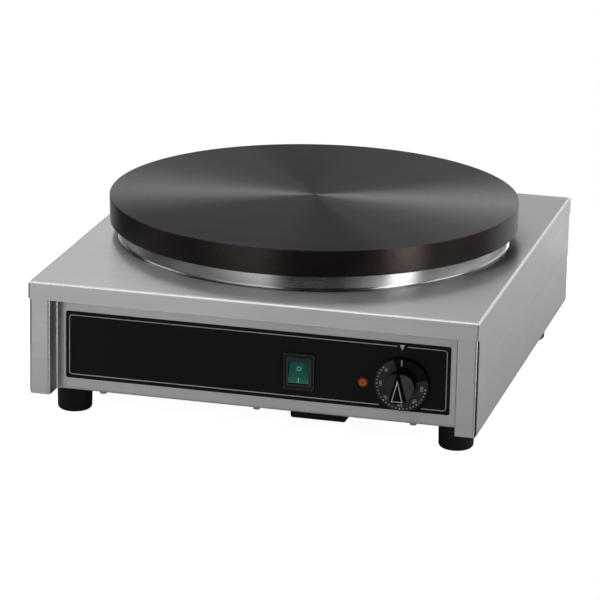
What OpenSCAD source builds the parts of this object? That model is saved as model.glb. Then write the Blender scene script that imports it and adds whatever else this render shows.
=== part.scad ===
// Electric crepe maker: a round cast plate on a stainless collar, over a folded stainless casing.
// Millimetres. The origin is the middle of the footprint, on the ground. +Z is up, the controls face -Y.

/* [Casing] */
// Width of the casing
body_w = 430; // [420:5:520]
// Depth of the casing over its front and rear lips
body_d = 460; // [450:5:560]
// Height of the casing from its bottom edge to its top sheet
body_h = 110; // [108:1:140]
// Gap under the casing, which the feet set
ground_gap = 28; // [22:1:45]
// Thickness of the casing sheet
sheet_t = 1.2; // [1:0.1:1.4]
// Inner radius of every fold of the casing
fold_r = 1.2; // [0.6:0.1:1.4]
// Height of the front and rear lips of the cover
lip_h = 17; // [12:1:22]
// How far the edges of the cover's sides stand back from the lips
side_setback = 5; // [2:0.5:8]
// Radius of the bottom corners of the cover's sides
side_corner_r = 3; // [1:0.5:6]
// Width of the flanges under the cover's sides
side_flange = 10; // [8:0.5:10]
// Open seam between an end of a lip and the side beside it
seam = 0.7; // [0.3:0.1:1]

/* [Front and rear panels] */
// Depth of the recess in the front and in the rear
recess_d = 22.5; // [20:0.5:26]
// Width of each post beside a recess
post_w = 19.8; // [14:0.2:24]
// Length of a post's return along the cover's side
post_return = 14; // [8:1:18]
// Width of the flange under each panel
panel_flange = 12.5; // [11:0.5:14]
// Distance of the control label's ends from the posts
label_in = 9; // [6:1:19]
// Height of the control label
label_h = 65.7; // [62:0.1:76]
// Height of the label's middle above the casing's bottom edge
label_up = 44.9; // [42:0.1:56]
// Thickness of the label
label_t = 0.4; // [0.2:0.1:0.6]

/* [Cooking plate] */
// Diameter of the plate
plate_d = 400; // [390:5:410]
// Height of the plate's rim
plate_rim = 26; // [23:0.5:34]
// Thickness of the plate
plate_t = 12; // [10:0.5:14]
// Thickness of the plate's skirt
skirt_t = 7; // [5:0.5:9]
// Distance of the plate's middle behind the casing's middle
plate_back = 5; // [-2:0.5:10]
// Height of the collar that shows between casing and plate
collar_show = 16; // [12:0.5:24]
// Radial gap between the skirt and the collar
collar_gap = 4.5; // [2:0.5:8]
// Thickness of the collar
collar_t = 1.5; // [1:0.1:2]
// Radius of the hollow foot that spreads the collar on the casing
collar_foot = 3; // [1.5:0.5:4]

/* [Heating] */
// Radius of the inner element's ring
inner_ring_r = 75; // [68:1:82]
// Radius of the outer element's ring
outer_ring_r = 140; // [136:1:144]
// Diameter of an element's tube
tube_d = 8; // [7:0.5:8.5]
// Height of an element where it is pressed flat against the plate
tube_flat = 7; // [6:0.5:7]
// Radius of the circle of the four studs
stud_ring_r = 108; // [104:1:110]
// Diameter of a stud
stud_d = 8; // [6:0.5:10]
// Thickness of the clamp ring
clamp_t = 2; // [1.5:0.5:3]
// Depth of the insulation pan
pan_h = 32; // [26:1:34]
// Thickness of the insulation blanket
blanket_t = 28; // [20:1:28]

/* [Feet] */
// Diameter of a foot
foot_d = 34; // [28:1:34]
// Distance of a foot's axis from the side of the casing
foot_in_x = 29; // [29:0.5:36]
// Distance of a foot's axis from the front or rear of the casing
foot_in_y = 53; // [53:0.5:64]
// Rounding of a foot's lower edge
foot_round = 4; // [2:0.5:5]

/* [Controls] */
// Distance of the rocker switch's middle from the knob's axis
switch_from_knob = 98; // [94:1:104]
// Height of the switch's middle above the casing's bottom edge
switch_up = 40.3; // [38:0.1:46]
// Width of the switch's bezel
bezel_w = 28.7; // [27:0.1:31]
// Height of the switch's bezel
bezel_h = 34.4; // [33:0.1:38]
// Angle that the rocker tips through
rocker_tip = 16; // [14:1:22]
// Distance of the pilot lamp's axis from the knob's axis
lamp_from_knob = 37; // [36:1:44]
// Height of the pilot lamp above the casing's bottom edge
lamp_up = 36.5; // [30:0.1:44]
// Diameter of the lamp's lens
lamp_d = 10.4; // [10:0.1:12]
// Distance of the thermostat knob's axis from the side of the casing
knob_in = 75; // [65:1:77]
// Height of the knob's axis above the casing's bottom edge
knob_up = 38.4; // [36:0.1:44]
// Diameter of the knob's dial
dial_d = 50.5; // [46:0.5:52]
// Diameter of the knob's grip
grip_d = 27; // [24:0.5:30]
// Height of the knob's grip over the control face
grip_h = 22; // [19:0.5:22]
// Diameter of the thermostat shaft
shaft_d = 6; // [5:0.5:6]

/* [Cut-out and cord entry] */
// Distance of the over-temperature cut-out's axis from the knob's axis
limit_from_knob = 83; // [78:1:86]
// Travel of the reset button
reset_travel = 2.5; // [1.5:0.5:3]
// Width of the guard round the reset button
guard_w = 55; // [48:1:58]
// Depth of the guard, front to back
guard_d = 34; // [30:1:36]
// Height of the guard
guard_h = 12.5; // [8:0.5:14]
// Distance of the cord gland's axis from the side of the casing
gland_in = 85; // [65:1:155]
// Height of the cord gland above the casing's bottom edge
gland_up = 34; // [30:1:50]
// Diameter of the cord that the gland's seal takes
cord_d = 10; // [8:0.5:10]

/* [Clearances] */
// Running clearance of a shaft, pin or button in its bore, on the radius
run_gap = 0.05; // [0.02:0.01:0.09]
// Clearance of a screw in its hole, on the radius
screw_gap = 0.15; // [0.1:0.05:0.4]
// Clearance round the rocker in its window
rocker_gap = 0.3; // [0.2:0.05:0.5]
// Gap between the dial and the label
dial_gap = 0.8; // [0.5:0.1:1.2]
// Gap round the base plate
base_gap = 0.3; // [0.2:0.1:0.6]

/* [Hidden] */
$fn = 96;
e = 0.5; // overlap of a cutter past the face that it opens
steel = [0.74, 0.74, 0.75];
black = [0.10, 0.10, 0.11];
brass = [0.80, 0.66, 0.34];

// Casing
half_w = body_w / 2;
half_d = body_d / 2;
low = ground_gap;
top = low + body_h;
under = top - sheet_t; // underside of the top sheet
lip_low = top - lip_h;
bend_r = fold_r + sheet_t; // outer radius of a fold
panel_y = half_d - recess_d; // outer face of a recessed panel
base_low = low + sheet_t;
base_top = base_low + sheet_t;
post_in = half_w - sheet_t - post_w; // inner face of a post
label_w = 2 * (post_in - label_in);
fold_h = 8; // height that a panel's flange fold takes at its foot
panel_top = under - fold_r;
flange_mid_x = half_w - sheet_t - side_flange / 2;
flange_mid_y = panel_y - panel_flange / 2;
screw_x = [-150, 0, 150];
screw_y = [-130, 0, 130];
base_half_w = half_w - bend_r - base_gap; // clear of the folds' inner radius
base_half_d = panel_y - bend_r - base_gap;
label_corner = 2;

// Air slots of the base plate, in four banks
vent_w = 4;
vent_len = 50;
vent_pitch = 13;
vents = [-3:3];
vent_bank_x = 95;
vent_bank_y = 34;

// Casing screws, M4
m4 = 4;
m4_head_d = 7.6;
m4_head_h = 2.5;
m4_grip = 9; // length under the head
m4_hole_r = m4 / 2 + screw_gap;

// Cross-slotted screw heads
head_draw = 0.8; // the head's outer face is this share of its seat
slot_reach = 0.55; // half the slot's length, as a share of the head's radius
slot_w = 0.8;
slot_deep = 1;

// Plate and collar
plate_r = plate_d / 2;
skirt_low = top + collar_show;
plate_top = skirt_low + plate_rim;
plate_under = plate_top - plate_t;
rim_chamfer = 0.8;
skirt_round = 1.5;
skirt_in = plate_r - skirt_t;
collar_r = skirt_in - collar_gap;
ledge_w = 12.5; // the collar's top flange, which carries the plate
seat_w = 16.5; // the collar's bottom flange, which stands on the cover
seat_in = collar_r - seat_w;
opening_r = seat_in + 1;
pan_r = seat_in - 2; // inner radius of the pan
pan_t = sheet_t;
pan_rim = collar_r - 4.5; // the edge of the pan's flange
pan_low = under - pan_h;
pan_floor = pan_low + pan_t;
blanket_gap = 0.5;
collar_screw_r = (seat_in + pan_rim) / 2 + 2;
collar_screws_n = 6;
screw_out = 2; // how far a screw or stud passes its thread

// Elements, clamp and studs
tube_r = tube_d / 2;
press_spread = 0.3; // pressing makes the tube this much wider on each side
leg_sink = 0.4; // the legs' tops lie this much under the pressed face
tube_z = plate_under - tube_flat / 2;
clamp_top = plate_under - tube_flat;
clamp_low = clamp_top - clamp_t;
clamp_inside = 18; // how far the clamp ring reaches inside the inner element's ring
clamp_outside = 14; // and outside the outer element's
clamp_in = inner_ring_r - clamp_inside;
clamp_out = outer_ring_r + clamp_outside;
inner_half_gap = 20; // half the angle between the ends of the inner ring
outer_half_gap = 8;
pin_r = 2;
pin_len = 10;
leg_low = pan_low - 10;
pin_low = leg_low - pin_len;
leg_hole = tube_r + 2;
stud_angles = [45, 135, 225, 315];
stud_r = stud_d / 2;
stud_in = 6; // thread in the plate
boss_h = 6;
boss_r = stud_r + 7;
nut_h = 0.8 * stud_d;
nut_r = 0.94 * stud_d;
washer_h = 1.6;
stud_low = pan_low - washer_h - nut_h - 4;
bulb_len = 90;
bulb_r = tube_flat / 2;
bulb_y = stud_ring_r; // distance of a bulb from the plate's axis
capillary_r = 0.8;
drop_out = 10; // from a bulb's end to where its capillary turns down
capillary_down = 7; // under the pan
capillary_hole = 2.5;

// Feet
foot_r = foot_d / 2;
foot_x = half_w - foot_in_x;
foot_y = half_d - foot_in_y;
foot_taper = 0.5;
foot_bore = 3.3;
foot_pocket_r = 7;
foot_pocket_h = 14;
m6_r = 3;
m6_head_r = 5.5;
m6_head_h = 4;
m6_nut_h = 5;
m6_nut_r = 5.7;

// Sideways places of the controls
knob_x = half_w - knob_in;
lamp_x = knob_x - lamp_from_knob;
switch_x = knob_x - switch_from_knob;
limit_x = knob_x - limit_from_knob;
gland_x = half_w - gland_in;

// Rocker switch: local frame of the control face, x to the right, y up, z outward
switch_z = low + switch_up;
bezel_t = 2.2;
frame_t = 1;
frame_front = label_t + bezel_t + frame_t;
bezel_side = 2.95; // the bezel's step beside the frame
bezel_end = 4; // the bezel's step above and below the frame
frame_edge = 1.3; // width of the frame round the window
frame_w = bezel_w - 2 * bezel_side;
frame_h = bezel_h - 2 * bezel_end;
window_w = frame_w - 2 * frame_edge;
window_h = frame_h - 2 * frame_edge;
cutout_side = 0.4;
cutout_end = 1.1;
cutout_w = frame_w - 2 * cutout_side;
cutout_h = frame_h + 2 * cutout_end;
bezel_corner = 1.5;
frame_corner = 0.8;
switch_deep = 25;
switch_gap = 0.3;
rocker_r = window_h / 2 - rocker_gap;
rocker_w = window_w - 2 * rocker_gap;
rocker_mid = 2; // from the pin's axis to the middle of the rocker's face
rocker_low = 2.3; // how far the pressed half lies under the frame
rocker_back = 6;
rocker_pin_z = frame_front - rocker_low - rocker_mid * cos(rocker_tip / 2);
rocker_pin_r = 1.5;
rocker_pin_in = 0.55; // how far a pin goes into the wall of the housing
rocker_pin_hole = 0.75;
switch_body_w = cutout_w - 2 * switch_gap;
switch_body_h = cutout_h - 2 * switch_gap;
blade = [6.3, 0.8, 8];
blade_in = 3; // how far a blade goes into its case
switch_blade_x = 5.5;
switch_blade_y = 7;

// Pilot lamp
lamp_z = low + lamp_up;
lamp_flange = 1;
lamp_dome_r = lamp_d / 2 - 0.6;
lamp_dome_h = 2;
lamp_tube_r = 4.4;
lamp_hole_r = lamp_tube_r + screw_gap;
lamp_deep = 20;
lamp_nut_r = 7;
lamp_nut_h = 2.5;
lamp_lead_x = 2;

// Thermostat and knob
knob_z = low + knob_up;
thermo_w = 36;
thermo_deep = 24;
capsule_r = 14;
capsule_h = 6;
bush_r = shaft_d / 2 + 1.9;
shaft_r = shaft_d / 2;
shaft_in = 14;
shaft_out = 12; // end of the shaft over the control face
shaft_flat = 0.55; // depth of the flat on the shaft
thermo_screw_x = 14;
thermo_head_r = 3.5;
thermo_head_h = 2;
head_gap = 0.3; // round a head that sits in the label
thermo_grip = 8;
thermo_blade_x = 10;
thermo_blade_y = 16;
dial_back = label_t + dial_gap;
dial_t = 4.2;
dial_front = dial_back + dial_t;
dial_r = dial_d / 2;
dial_edge = 0.8;
dial_hollow = 2;
hub_r = 6.5;
dial_wall = 3;
off_start = -18; // the off zone of the dial, in degrees clockwise from the top
off_end = 74;
zone_deep = 0.3; // the scale's zone lies this much lower than the off zone
zone_edge = 0.6;
grip_edge = 0.2; // from the grip's foot to the zone's inner edge
grip_r = grip_d / 2;
grip_taper = 0.6;
pointer_half = 15.5; // half the angle between the grip's two scoops
pointer_tip = 10; // from the knob's axis to the tip of the pointer
scoop_r = 14;
scoop_rise = 4; // height of a scoop's axis over the grip's face
scoop_margin = 0.5;

// Over-temperature cut-out, reset button and guard
limit_y = -(panel_y - panel_flange - guard_d / 2 - 1);
limit_w = 28;
limit_h = 22;
neck_r = 4.4;
neck_down = 3.2;
reset_r = 3;
reset_show = 2;
shoulder_r = 4;
shoulder_h = 2;
shoulder_gap = 0.3;
shoulder_low = base_top + 3;
reset_low = base_low - neck_down - reset_show;
reset_top = shoulder_low + shoulder_h + 5;
limit_blade_x = 8;
guard_t = 2;
reset_bore_h = 12;
guard_low = base_low - guard_h;
guard_corner = 6;
guard_round = 5;
guard_hole_r = 7;
guard_screw_x = guard_w / 2 - 6.5;
guard_boss_r = 3.6;
m3_r = 1.5;
m3_head_r = 2.8;
m3_head_h = 1.6;

// Terminal block and earth stud
block = [54, 20, 18];
block_side = 30; // from the gland's axis
block_near = 42.5; // from the rear panel
block_x = gland_x - block_side;
block_y = panel_y - block_near;
pole = 10;
poles = [-2:2];
pole_r = 2.2;
pole_z = base_top + 7.6;
clamp_screw_y = 5;
clamp_screw_r = 1.8;
earth_side = 50; // from the block's middle
earth_near = 19;
earth_x = block_x - earth_side;
earth_y = block_y - earth_near;
earth_r = 2.5;
tag_t = 1.5;
tag_r = 6;

// Cord gland: local frame of the rear panel, z outward
gland_z = low + gland_up;
thread_r = 10;
gland_hex_r = 13.6;
gland_flange_h = 5;
gland_neck_r = 9;
gland_neck_h = 5;
gland_tail = 10;
gland_bore = cord_d / 2 + 1.5;
seal_low = 2;
seal_h = 9;
cap_gap = 0.2;
cap_h = 11;
cap_cone = 5;
cap_hole = cord_d / 2 + 0.6;
locknut_h = 4;

// Wires and capillaries
controls_lane = 57.5; // depth behind the control face
thermo_side = 30; // from the knob's axis to the capillary's way up
wire_r = 1.5;
lead_r = 0.8;
supply_back = 65; // the supply's lane, in front of the terminal block
cutout_lane = 15; // lanes behind the controls' own lane
outer_lane = 40;
inner_lane = 50;
lamp_turn = 22;
neutral_back = [95, 85]; // lanes of the outer and the inner element's neutral
neutral_up = [22, 28];
lead_lane = 8; // the lamp's neutral
lead_side = 9;
lead_up = 3;

// ---- Helpers ----

function unit(v) = v / norm(v);
function polar(r, a) = [r * cos(a), r * sin(a)];

// Extrude an outline drawn in X and Z along Y, or one drawn in Y and Z along X, centred
module along_y(length) rotate([90, 0, 0]) linear_extrude(length, center = true) children();
module along_x(length) rotate([90, 0, 90]) linear_extrude(length, center = true) children();

// Local frames of the front control face and of the rear panel
module on_front(x, z) translate([x, -panel_y, z]) rotate([90, 0, 0]) children();
module on_rear(x, z) translate([x, panel_y, z]) rotate([90, 0, 180]) children();

// Section of a sheet folded square along a path of its middle line
module folded(path, t, r) {
  k = r + t / 2;
  last = len(path) - 1;
  for (i = [0:last - 1]) {
    d = unit(path[i + 1] - path[i]);
    from = i == 0 ? 0 : k;
    to = i == last - 1 ? 0 : k;
    translate(path[i] + d * from) rotate(atan2(d.y, d.x)) translate([0, -t / 2])
      square([norm(path[i + 1] - path[i]) - from - to, t]);
  }
  for (i = [1:last - 1]) {
    u = unit(path[i] - path[i - 1]);
    v = unit(path[i + 1] - path[i]);
    translate(path[i] + (v - u) * k) intersection() {
      difference() {
        circle(r + t);
        circle(r);
      }
      polygon([[0, 0], -v * (r + t), (u - v) * (r + t), u * (r + t)]);
    }
  }
}

// Rectangle with round corners, centred
module rounded(size, r) {
  square([size.x - 2 * r, size.y], center = true);
  square([size.x, size.y - 2 * r], center = true);
  for (x = [-1, 1], y = [-1, 1])
    translate([x * (size.x / 2 - r), y * (size.y / 2 - r)]) circle(r);
}

// Rectangle that stands on the axis line and has its two top corners round
module arched(w, h, r) {
  translate([-w / 2, 0]) square([w, h - r]);
  translate([-w / 2 + r, 0]) square([w - 2 * r, h]);
  for (x = [-1, 1]) translate([x * (w / 2 - r), h - r]) circle(r);
}

// Round rod through a list of points, with ball corners
module rod(points, r) {
  for (i = [0:len(points) - 2]) {
    d = points[i + 1] - points[i];
    translate(points[i]) rotate([0, acos(d.z / norm(d)), atan2(d.y, d.x)])
      cylinder(h = norm(d), r = r, $fn = 24);
  }
  for (i = [1:1:len(points) - 2]) translate(points[i]) sphere(r, $fn = 24);
}

module hex_nut(h, r, bore) difference() {
  cylinder(h = h, r = r, $fn = 6);
  translate([0, 0, -e]) cylinder(h = h + 2 * e, r = bore, $fn = 48);
}

// Pan-head screw, head below the origin and shank up
module screw(head_r, head_h, shank_r, shank) {
  difference() {
    translate([0, 0, -head_h]) cylinder(h = head_h, r1 = head_draw * head_r, r2 = head_r, $fn = 36);
    for (a = [0, 90]) rotate(a) translate([-slot_reach * head_r, -slot_w / 2, -head_h - e])
      cube([2 * slot_reach * head_r, slot_w, slot_deep + e]);
  }
  cylinder(h = shank, r = shank_r, $fn = 36);
}

module at_collar_screws() for (i = [0:collar_screws_n - 1]) {
  place = polar(collar_screw_r, 360 / collar_screws_n * (i + 0.5));
  translate([place.x, plate_back + place.y, 0]) children();
}

module at_studs() for (a = stud_angles)
  translate(concat(polar(stud_ring_r, a), 0) + [0, plate_back, 0]) children();

function leg_at(r, half_gap, side) = [0, plate_back] + polar(r, 180 + side * half_gap);

module at_legs() for (side = [-1, 1]) {
  translate(leg_at(inner_ring_r, inner_half_gap, side)) children();
  translate(leg_at(outer_ring_r, outer_half_gap, side)) children();
}

// Where each bulb's capillary goes down: the thermostat's behind the plate's middle,
// the cut-out's before it
thermo_drop = [-bulb_len / 2 - drop_out, plate_back + bulb_y];
limit_drop = [bulb_len / 2 + drop_out, plate_back - bulb_y];

module at_drops() {
  translate(thermo_drop) children();
  translate(limit_drop) children();
}

module at_feet() for (x = [-1, 1], y = [-1, 1]) translate([x * foot_x, y * foot_y, 0]) children();

// Twelve casing screws: three through each panel flange and three through each side flange
module at_casing_screws() {
  for (x = screw_x, y = [-1, 1]) translate([x, y * flange_mid_y, low]) children();
  for (y = screw_y, x = [-1, 1]) translate([x * flange_mid_x, y, low]) children();
}

// ---- Casing ----

module top_cover() color(steel) difference() {
  union() {
    intersection() {
      along_y(body_d) folded([
        [flange_mid_x - side_flange / 2, low + sheet_t / 2],
        [half_w - sheet_t / 2, low + sheet_t / 2],
        [half_w - sheet_t / 2, top - sheet_t / 2],
        [-half_w + sheet_t / 2, top - sheet_t / 2],
        [-half_w + sheet_t / 2, low + sheet_t / 2],
        [-flange_mid_x + side_flange / 2, low + sheet_t / 2]
      ], sheet_t, fold_r);
      along_x(body_w) arched(body_d, top, bend_r);
    }
    intersection() {
      along_x(body_w) folded([
        [half_d - sheet_t / 2, lip_low],
        [half_d - sheet_t / 2, top - sheet_t / 2],
        [-half_d + sheet_t / 2, top - sheet_t / 2],
        [-half_d + sheet_t / 2, lip_low]
      ], sheet_t, fold_r);
      along_y(body_d) arched(body_w, top, bend_r);
    }
  }
  translate([0, plate_back, under - e]) cylinder(h = sheet_t + 2 * e, r = opening_r);
  translate([0, 0, under - e]) at_collar_screws()
    cylinder(h = sheet_t + 2 * e, r = m4_hole_r, $fn = 36);
  for (side = [-1, 1]) {
    // below the lips the sides stand back, and their flanges end at the panels
    translate([0, side * half_d, 0]) {
      translate([-half_w - e, -side_setback, low - e])
        cube([body_w + 2 * e, 2 * side_setback, lip_low - low + e]);
      translate([-half_w + sheet_t, -recess_d - sheet_t, low - e])
        cube([body_w - 2 * sheet_t, 2 * recess_d + 2 * sheet_t, bend_r + e]);
    }
    // the open seams at the ends of each lip
    for (x = [-1, 1])
      translate([x * (half_w - sheet_t - seam / 2), side * half_d, (lip_low - e + top - bend_r) / 2])
        cube([seam, 2 * bend_r, top - bend_r - lip_low + e], center = true);
    // the round bottom corners of the sides
    translate([0, side * (half_d - side_setback), low]) along_x(body_w + 2 * e) difference() {
      square(2 * side_corner_r, center = true);
      translate([-side * side_corner_r, side_corner_r]) circle(side_corner_r);
    }
    for (y = screw_y) translate([side * flange_mid_x, y, low - e])
      cylinder(h = sheet_t + 2 * e, r = m4_hole_r, $fn = 36);
  }
}

// Panel folded round two posts and back to a recessed face, with a flange under the face
module formed_panel() {
  face = panel_y - sheet_t / 2;
  post = half_d - sheet_t * 1.5;
  outer = half_w - sheet_t * 1.5;
  inner = post_in + sheet_t / 2;
  flange_x = post_in - bend_r;
  difference() {
    translate([0, 0, low]) linear_extrude(panel_top - low) folded([
      [-outer, -post + post_return], [-outer, -post], [-inner, -post], [-inner, -face],
      [inner, -face], [inner, -post], [outer, -post], [outer, -post + post_return]
    ], sheet_t, fold_r);
    translate([-flange_x, -panel_y - e, low - e]) cube([2 * flange_x, 2 * e + sheet_t, fold_h + e]);
  }
  difference() {
    along_x(2 * flange_x) folded([
      [-face, low + fold_h], [-face, low + sheet_t / 2], [-panel_y + panel_flange, low + sheet_t / 2]
    ], sheet_t, fold_r);
    for (x = screw_x) translate([x, -flange_mid_y, low - e])
      cylinder(h = sheet_t + 2 * e, r = m4_hole_r, $fn = 36);
  }
}

// The holes that the control face and its label share
module control_holes(depth) {
  on_front(switch_x, switch_z) translate([0, 0, -sheet_t - e])
    linear_extrude(depth) square([cutout_w, cutout_h], center = true);
  on_front(lamp_x, lamp_z) translate([0, 0, -sheet_t - e])
    cylinder(h = depth, r = lamp_hole_r, $fn = 48);
  on_front(knob_x, knob_z) translate([0, 0, -sheet_t - e])
    cylinder(h = depth, r = bush_r + screw_gap, $fn = 48);
}

module front_panel() color(steel) difference() {
  formed_panel();
  control_holes(sheet_t + 2 * e);
  on_front(knob_x, knob_z) for (x = [-1, 1]) translate([x * thermo_screw_x, 0, -sheet_t - e])
    cylinder(h = sheet_t + 2 * e, r = m4_hole_r, $fn = 36);
}

module rear_panel() color(steel) difference() {
  rotate(180) formed_panel();
  on_rear(gland_x, gland_z) translate([0, 0, -sheet_t - e])
    cylinder(h = sheet_t + 2 * e, r = thread_r + screw_gap);
}

module control_label() color(black) difference() {
  on_front(0, low + label_up) linear_extrude(label_t) rounded([label_w, label_h], label_corner);
  control_holes(sheet_t + label_t + 2 * e);
  on_front(knob_x, knob_z) for (x = [-1, 1]) translate([x * thermo_screw_x, 0, -e])
    cylinder(h = label_t + 2 * e, r = thermo_head_r + head_gap, $fn = 36);
}

module vent_slot() {
  square([vent_w, vent_len - vent_w], center = true);
  for (y = [-1, 1]) translate([0, y * (vent_len - vent_w) / 2]) circle(vent_w / 2, $fn = 24);
}

module base_plate() color([0.66, 0.67, 0.68]) difference() {
  translate([-base_half_w, -base_half_d, base_low]) cube([2 * base_half_w, 2 * base_half_d, sheet_t]);
  translate([0, 0, base_low - e]) linear_extrude(sheet_t + 2 * e)
    for (x = [-1, 1], y = [-1, 1], i = vents)
      translate([x * vent_bank_x + i * vent_pitch, y * vent_bank_y]) vent_slot();
  at_casing_screws() cylinder(h = 3 * sheet_t, r = m4_hole_r, $fn = 36);
  translate([0, 0, base_low - e]) {
    at_feet() cylinder(h = sheet_t + 2 * e, r = m6_r + screw_gap, $fn = 36);
    translate([limit_x, limit_y]) {
      cylinder(h = sheet_t + 2 * e, r = neck_r + screw_gap, $fn = 48);
      for (x = [-1, 1]) translate([x * guard_screw_x, 0])
        cylinder(h = sheet_t + 2 * e, r = m3_r + screw_gap, $fn = 36);
    }
  }
}

module casing_screws() color([0.8, 0.8, 0.8])
  at_casing_screws() screw(m4_head_d / 2, m4_head_h, m4 / 2, m4_grip);

// ---- Feet ----

module foot(x, y) color(black) translate([x * foot_x, y * foot_y, 0]) rotate_extrude() difference() {
  union() {
    polygon([
      [foot_bore, foot_round], [foot_r - foot_taper, foot_round],
      [foot_r, base_low], [foot_bore, base_low]
    ]);
    translate([foot_bore, 0]) square([foot_r - foot_taper - foot_round - foot_bore, foot_round]);
    translate([foot_r - foot_taper - foot_round, foot_round]) intersection() {
      circle(foot_round);
      translate([0, -foot_round]) square(foot_round);
    }
  }
  translate([0, -e]) square([foot_pocket_r, foot_pocket_h + e]);
}

module foot_screws() color([0.8, 0.8, 0.8]) at_feet() translate([0, 0, foot_pocket_h])
  screw(m6_head_r, m6_head_h, m6_r, base_top + m6_nut_h + screw_out - foot_pocket_h);

module foot_nuts() color([0.8, 0.8, 0.8]) at_feet() translate([0, 0, base_top])
  hex_nut(m6_nut_h, m6_nut_r, m6_r + run_gap);

// ---- Cooking plate and collar ----

module griddle_plate() color([0.22, 0.21, 0.22]) translate([0, plate_back, 0]) difference() {
  union() {
    rotate_extrude($fn = 180) {
      polygon([
        [0, plate_under], [0, plate_top],
        [plate_r - rim_chamfer, plate_top], [plate_r, plate_top - rim_chamfer],
        [plate_r, skirt_low + skirt_round], [plate_r - skirt_round, skirt_low + skirt_round],
        [plate_r - skirt_round, skirt_low], [skirt_in, skirt_low], [skirt_in, plate_under]
      ]);
      translate([plate_r - skirt_round, skirt_low + skirt_round]) intersection() {
        circle(skirt_round);
        translate([0, -skirt_round]) square(skirt_round);
      }
    }
    for (a = stud_angles) translate(concat(polar(stud_ring_r, a), plate_under - boss_h))
      cylinder(h = boss_h + 1, r = boss_r, $fn = 48);
  }
  for (a = stud_angles) translate(concat(polar(stud_ring_r, a), plate_under - boss_h - e))
    cylinder(h = boss_h + stud_in + e, r = stud_r + run_gap, $fn = 48);
}

module collar_ring() color(steel) difference() {
  translate([0, plate_back, 0]) rotate_extrude($fn = 180) {
    translate([collar_r - collar_t, top]) square([collar_t, plate_under - top]);
    translate([collar_r - ledge_w, plate_under - collar_t]) square([ledge_w, collar_t]);
    translate([seat_in, top]) square([seat_w, collar_t]);
    difference() {
      translate([collar_r - collar_t / 2, top]) square([collar_foot + collar_t / 2, collar_foot]);
      translate([collar_r + collar_foot, top + collar_foot]) circle(collar_foot, $fn = 48);
    }
  }
  translate([0, 0, top - e]) at_collar_screws()
    cylinder(h = collar_t + 2 * e, r = m4 / 2 + run_gap, $fn = 36);
}

module collar_screws() color([0.8, 0.8, 0.8]) translate([0, 0, under - pan_t]) at_collar_screws()
  screw(m4_head_d / 2, m4_head_h, m4 / 2, pan_t + sheet_t + collar_t + screw_out);

// ---- Heating ----

// Ring of pressed tube whose two ends turn down into legs with terminal pins
module element(ring_r, half_gap) {
  translate([0, plate_back, tube_z]) rotate(half_gap - 180)
    rotate_extrude(angle = 360 - 2 * half_gap, $fn = 180)
      translate([ring_r, 0]) intersection() {
        circle(tube_r + press_spread, $fn = 48);
        square([2 * tube_d, tube_flat], center = true);
      }
  for (side = [-1, 1]) translate(leg_at(ring_r, half_gap, side)) {
    translate([0, 0, leg_low]) cylinder(h = plate_under - leg_sink - leg_low, r = tube_r, $fn = 48);
    translate([0, 0, pin_low]) cylinder(h = pin_len, r = pin_r, $fn = 36);
  }
}

module inner_element() color([0.42, 0.42, 0.40]) element(inner_ring_r, inner_half_gap);
module outer_element() color([0.42, 0.42, 0.40]) element(outer_ring_r, outer_half_gap);

module element_clamp() color(steel) difference() {
  translate([0, plate_back, clamp_low]) cylinder(h = clamp_t, r = clamp_out);
  translate([0, plate_back, clamp_low - e]) cylinder(h = clamp_t + 2 * e, r = clamp_in);
  translate([0, 0, clamp_low - e]) {
    at_studs() cylinder(h = clamp_t + 2 * e, r = stud_r + screw_gap, $fn = 48);
    at_legs() cylinder(h = clamp_t + 2 * e, r = leg_hole, $fn = 48);
    at_drops() cylinder(h = clamp_t + 2 * e, r = capillary_hole, $fn = 36);
  }
}

module griddle_studs() color([0.75, 0.75, 0.75]) translate([0, 0, stud_low]) at_studs()
  cylinder(h = plate_under + stud_in - stud_low, r = stud_r, $fn = 48);

module clamp_nuts() color([0.75, 0.75, 0.75]) translate([0, 0, clamp_low - nut_h]) at_studs()
  hex_nut(nut_h, nut_r, stud_r + run_gap);

module pan_nuts() color([0.75, 0.75, 0.75]) at_studs() {
  translate([0, 0, pan_low - washer_h - nut_h]) hex_nut(nut_h, nut_r, stud_r + run_gap);
  translate([0, 0, pan_low - washer_h]) difference() {
    cylinder(h = washer_h, r = nut_r + 1, $fn = 48);
    translate([0, 0, -e]) cylinder(h = washer_h + 2 * e, r = stud_r + run_gap, $fn = 48);
  }
}

// Everything that passes down through the blanket and the floor of the pan
module pan_holes(z, h) translate([0, 0, z]) {
  at_studs() cylinder(h = h, r = stud_r + screw_gap, $fn = 48);
  at_legs() cylinder(h = h, r = leg_hole, $fn = 48);
  at_drops() cylinder(h = h, r = capillary_hole, $fn = 36);
}

module insulation_blanket() color([0.90, 0.88, 0.82]) difference() {
  translate([0, plate_back, pan_floor]) cylinder(h = blanket_t, r = pan_r - blanket_gap);
  pan_holes(pan_floor - e, blanket_t + 2 * e);
}

module insulation_pan() color([0.70, 0.70, 0.71]) difference() {
  translate([0, plate_back, 0]) rotate_extrude($fn = 180) {
    translate([0, pan_low]) square([pan_r + pan_t, pan_t]);
    translate([pan_r, pan_low]) square([pan_t, pan_h]);
    translate([pan_r, under - pan_t]) square([pan_rim - pan_r, pan_t]);
  }
  pan_holes(pan_low - e, pan_t + 2 * e);
  translate([0, 0, under - pan_t - e]) at_collar_screws()
    cylinder(h = pan_t + 2 * e, r = m4_hole_r, $fn = 36);
}

// ---- Rocker switch ----

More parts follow.
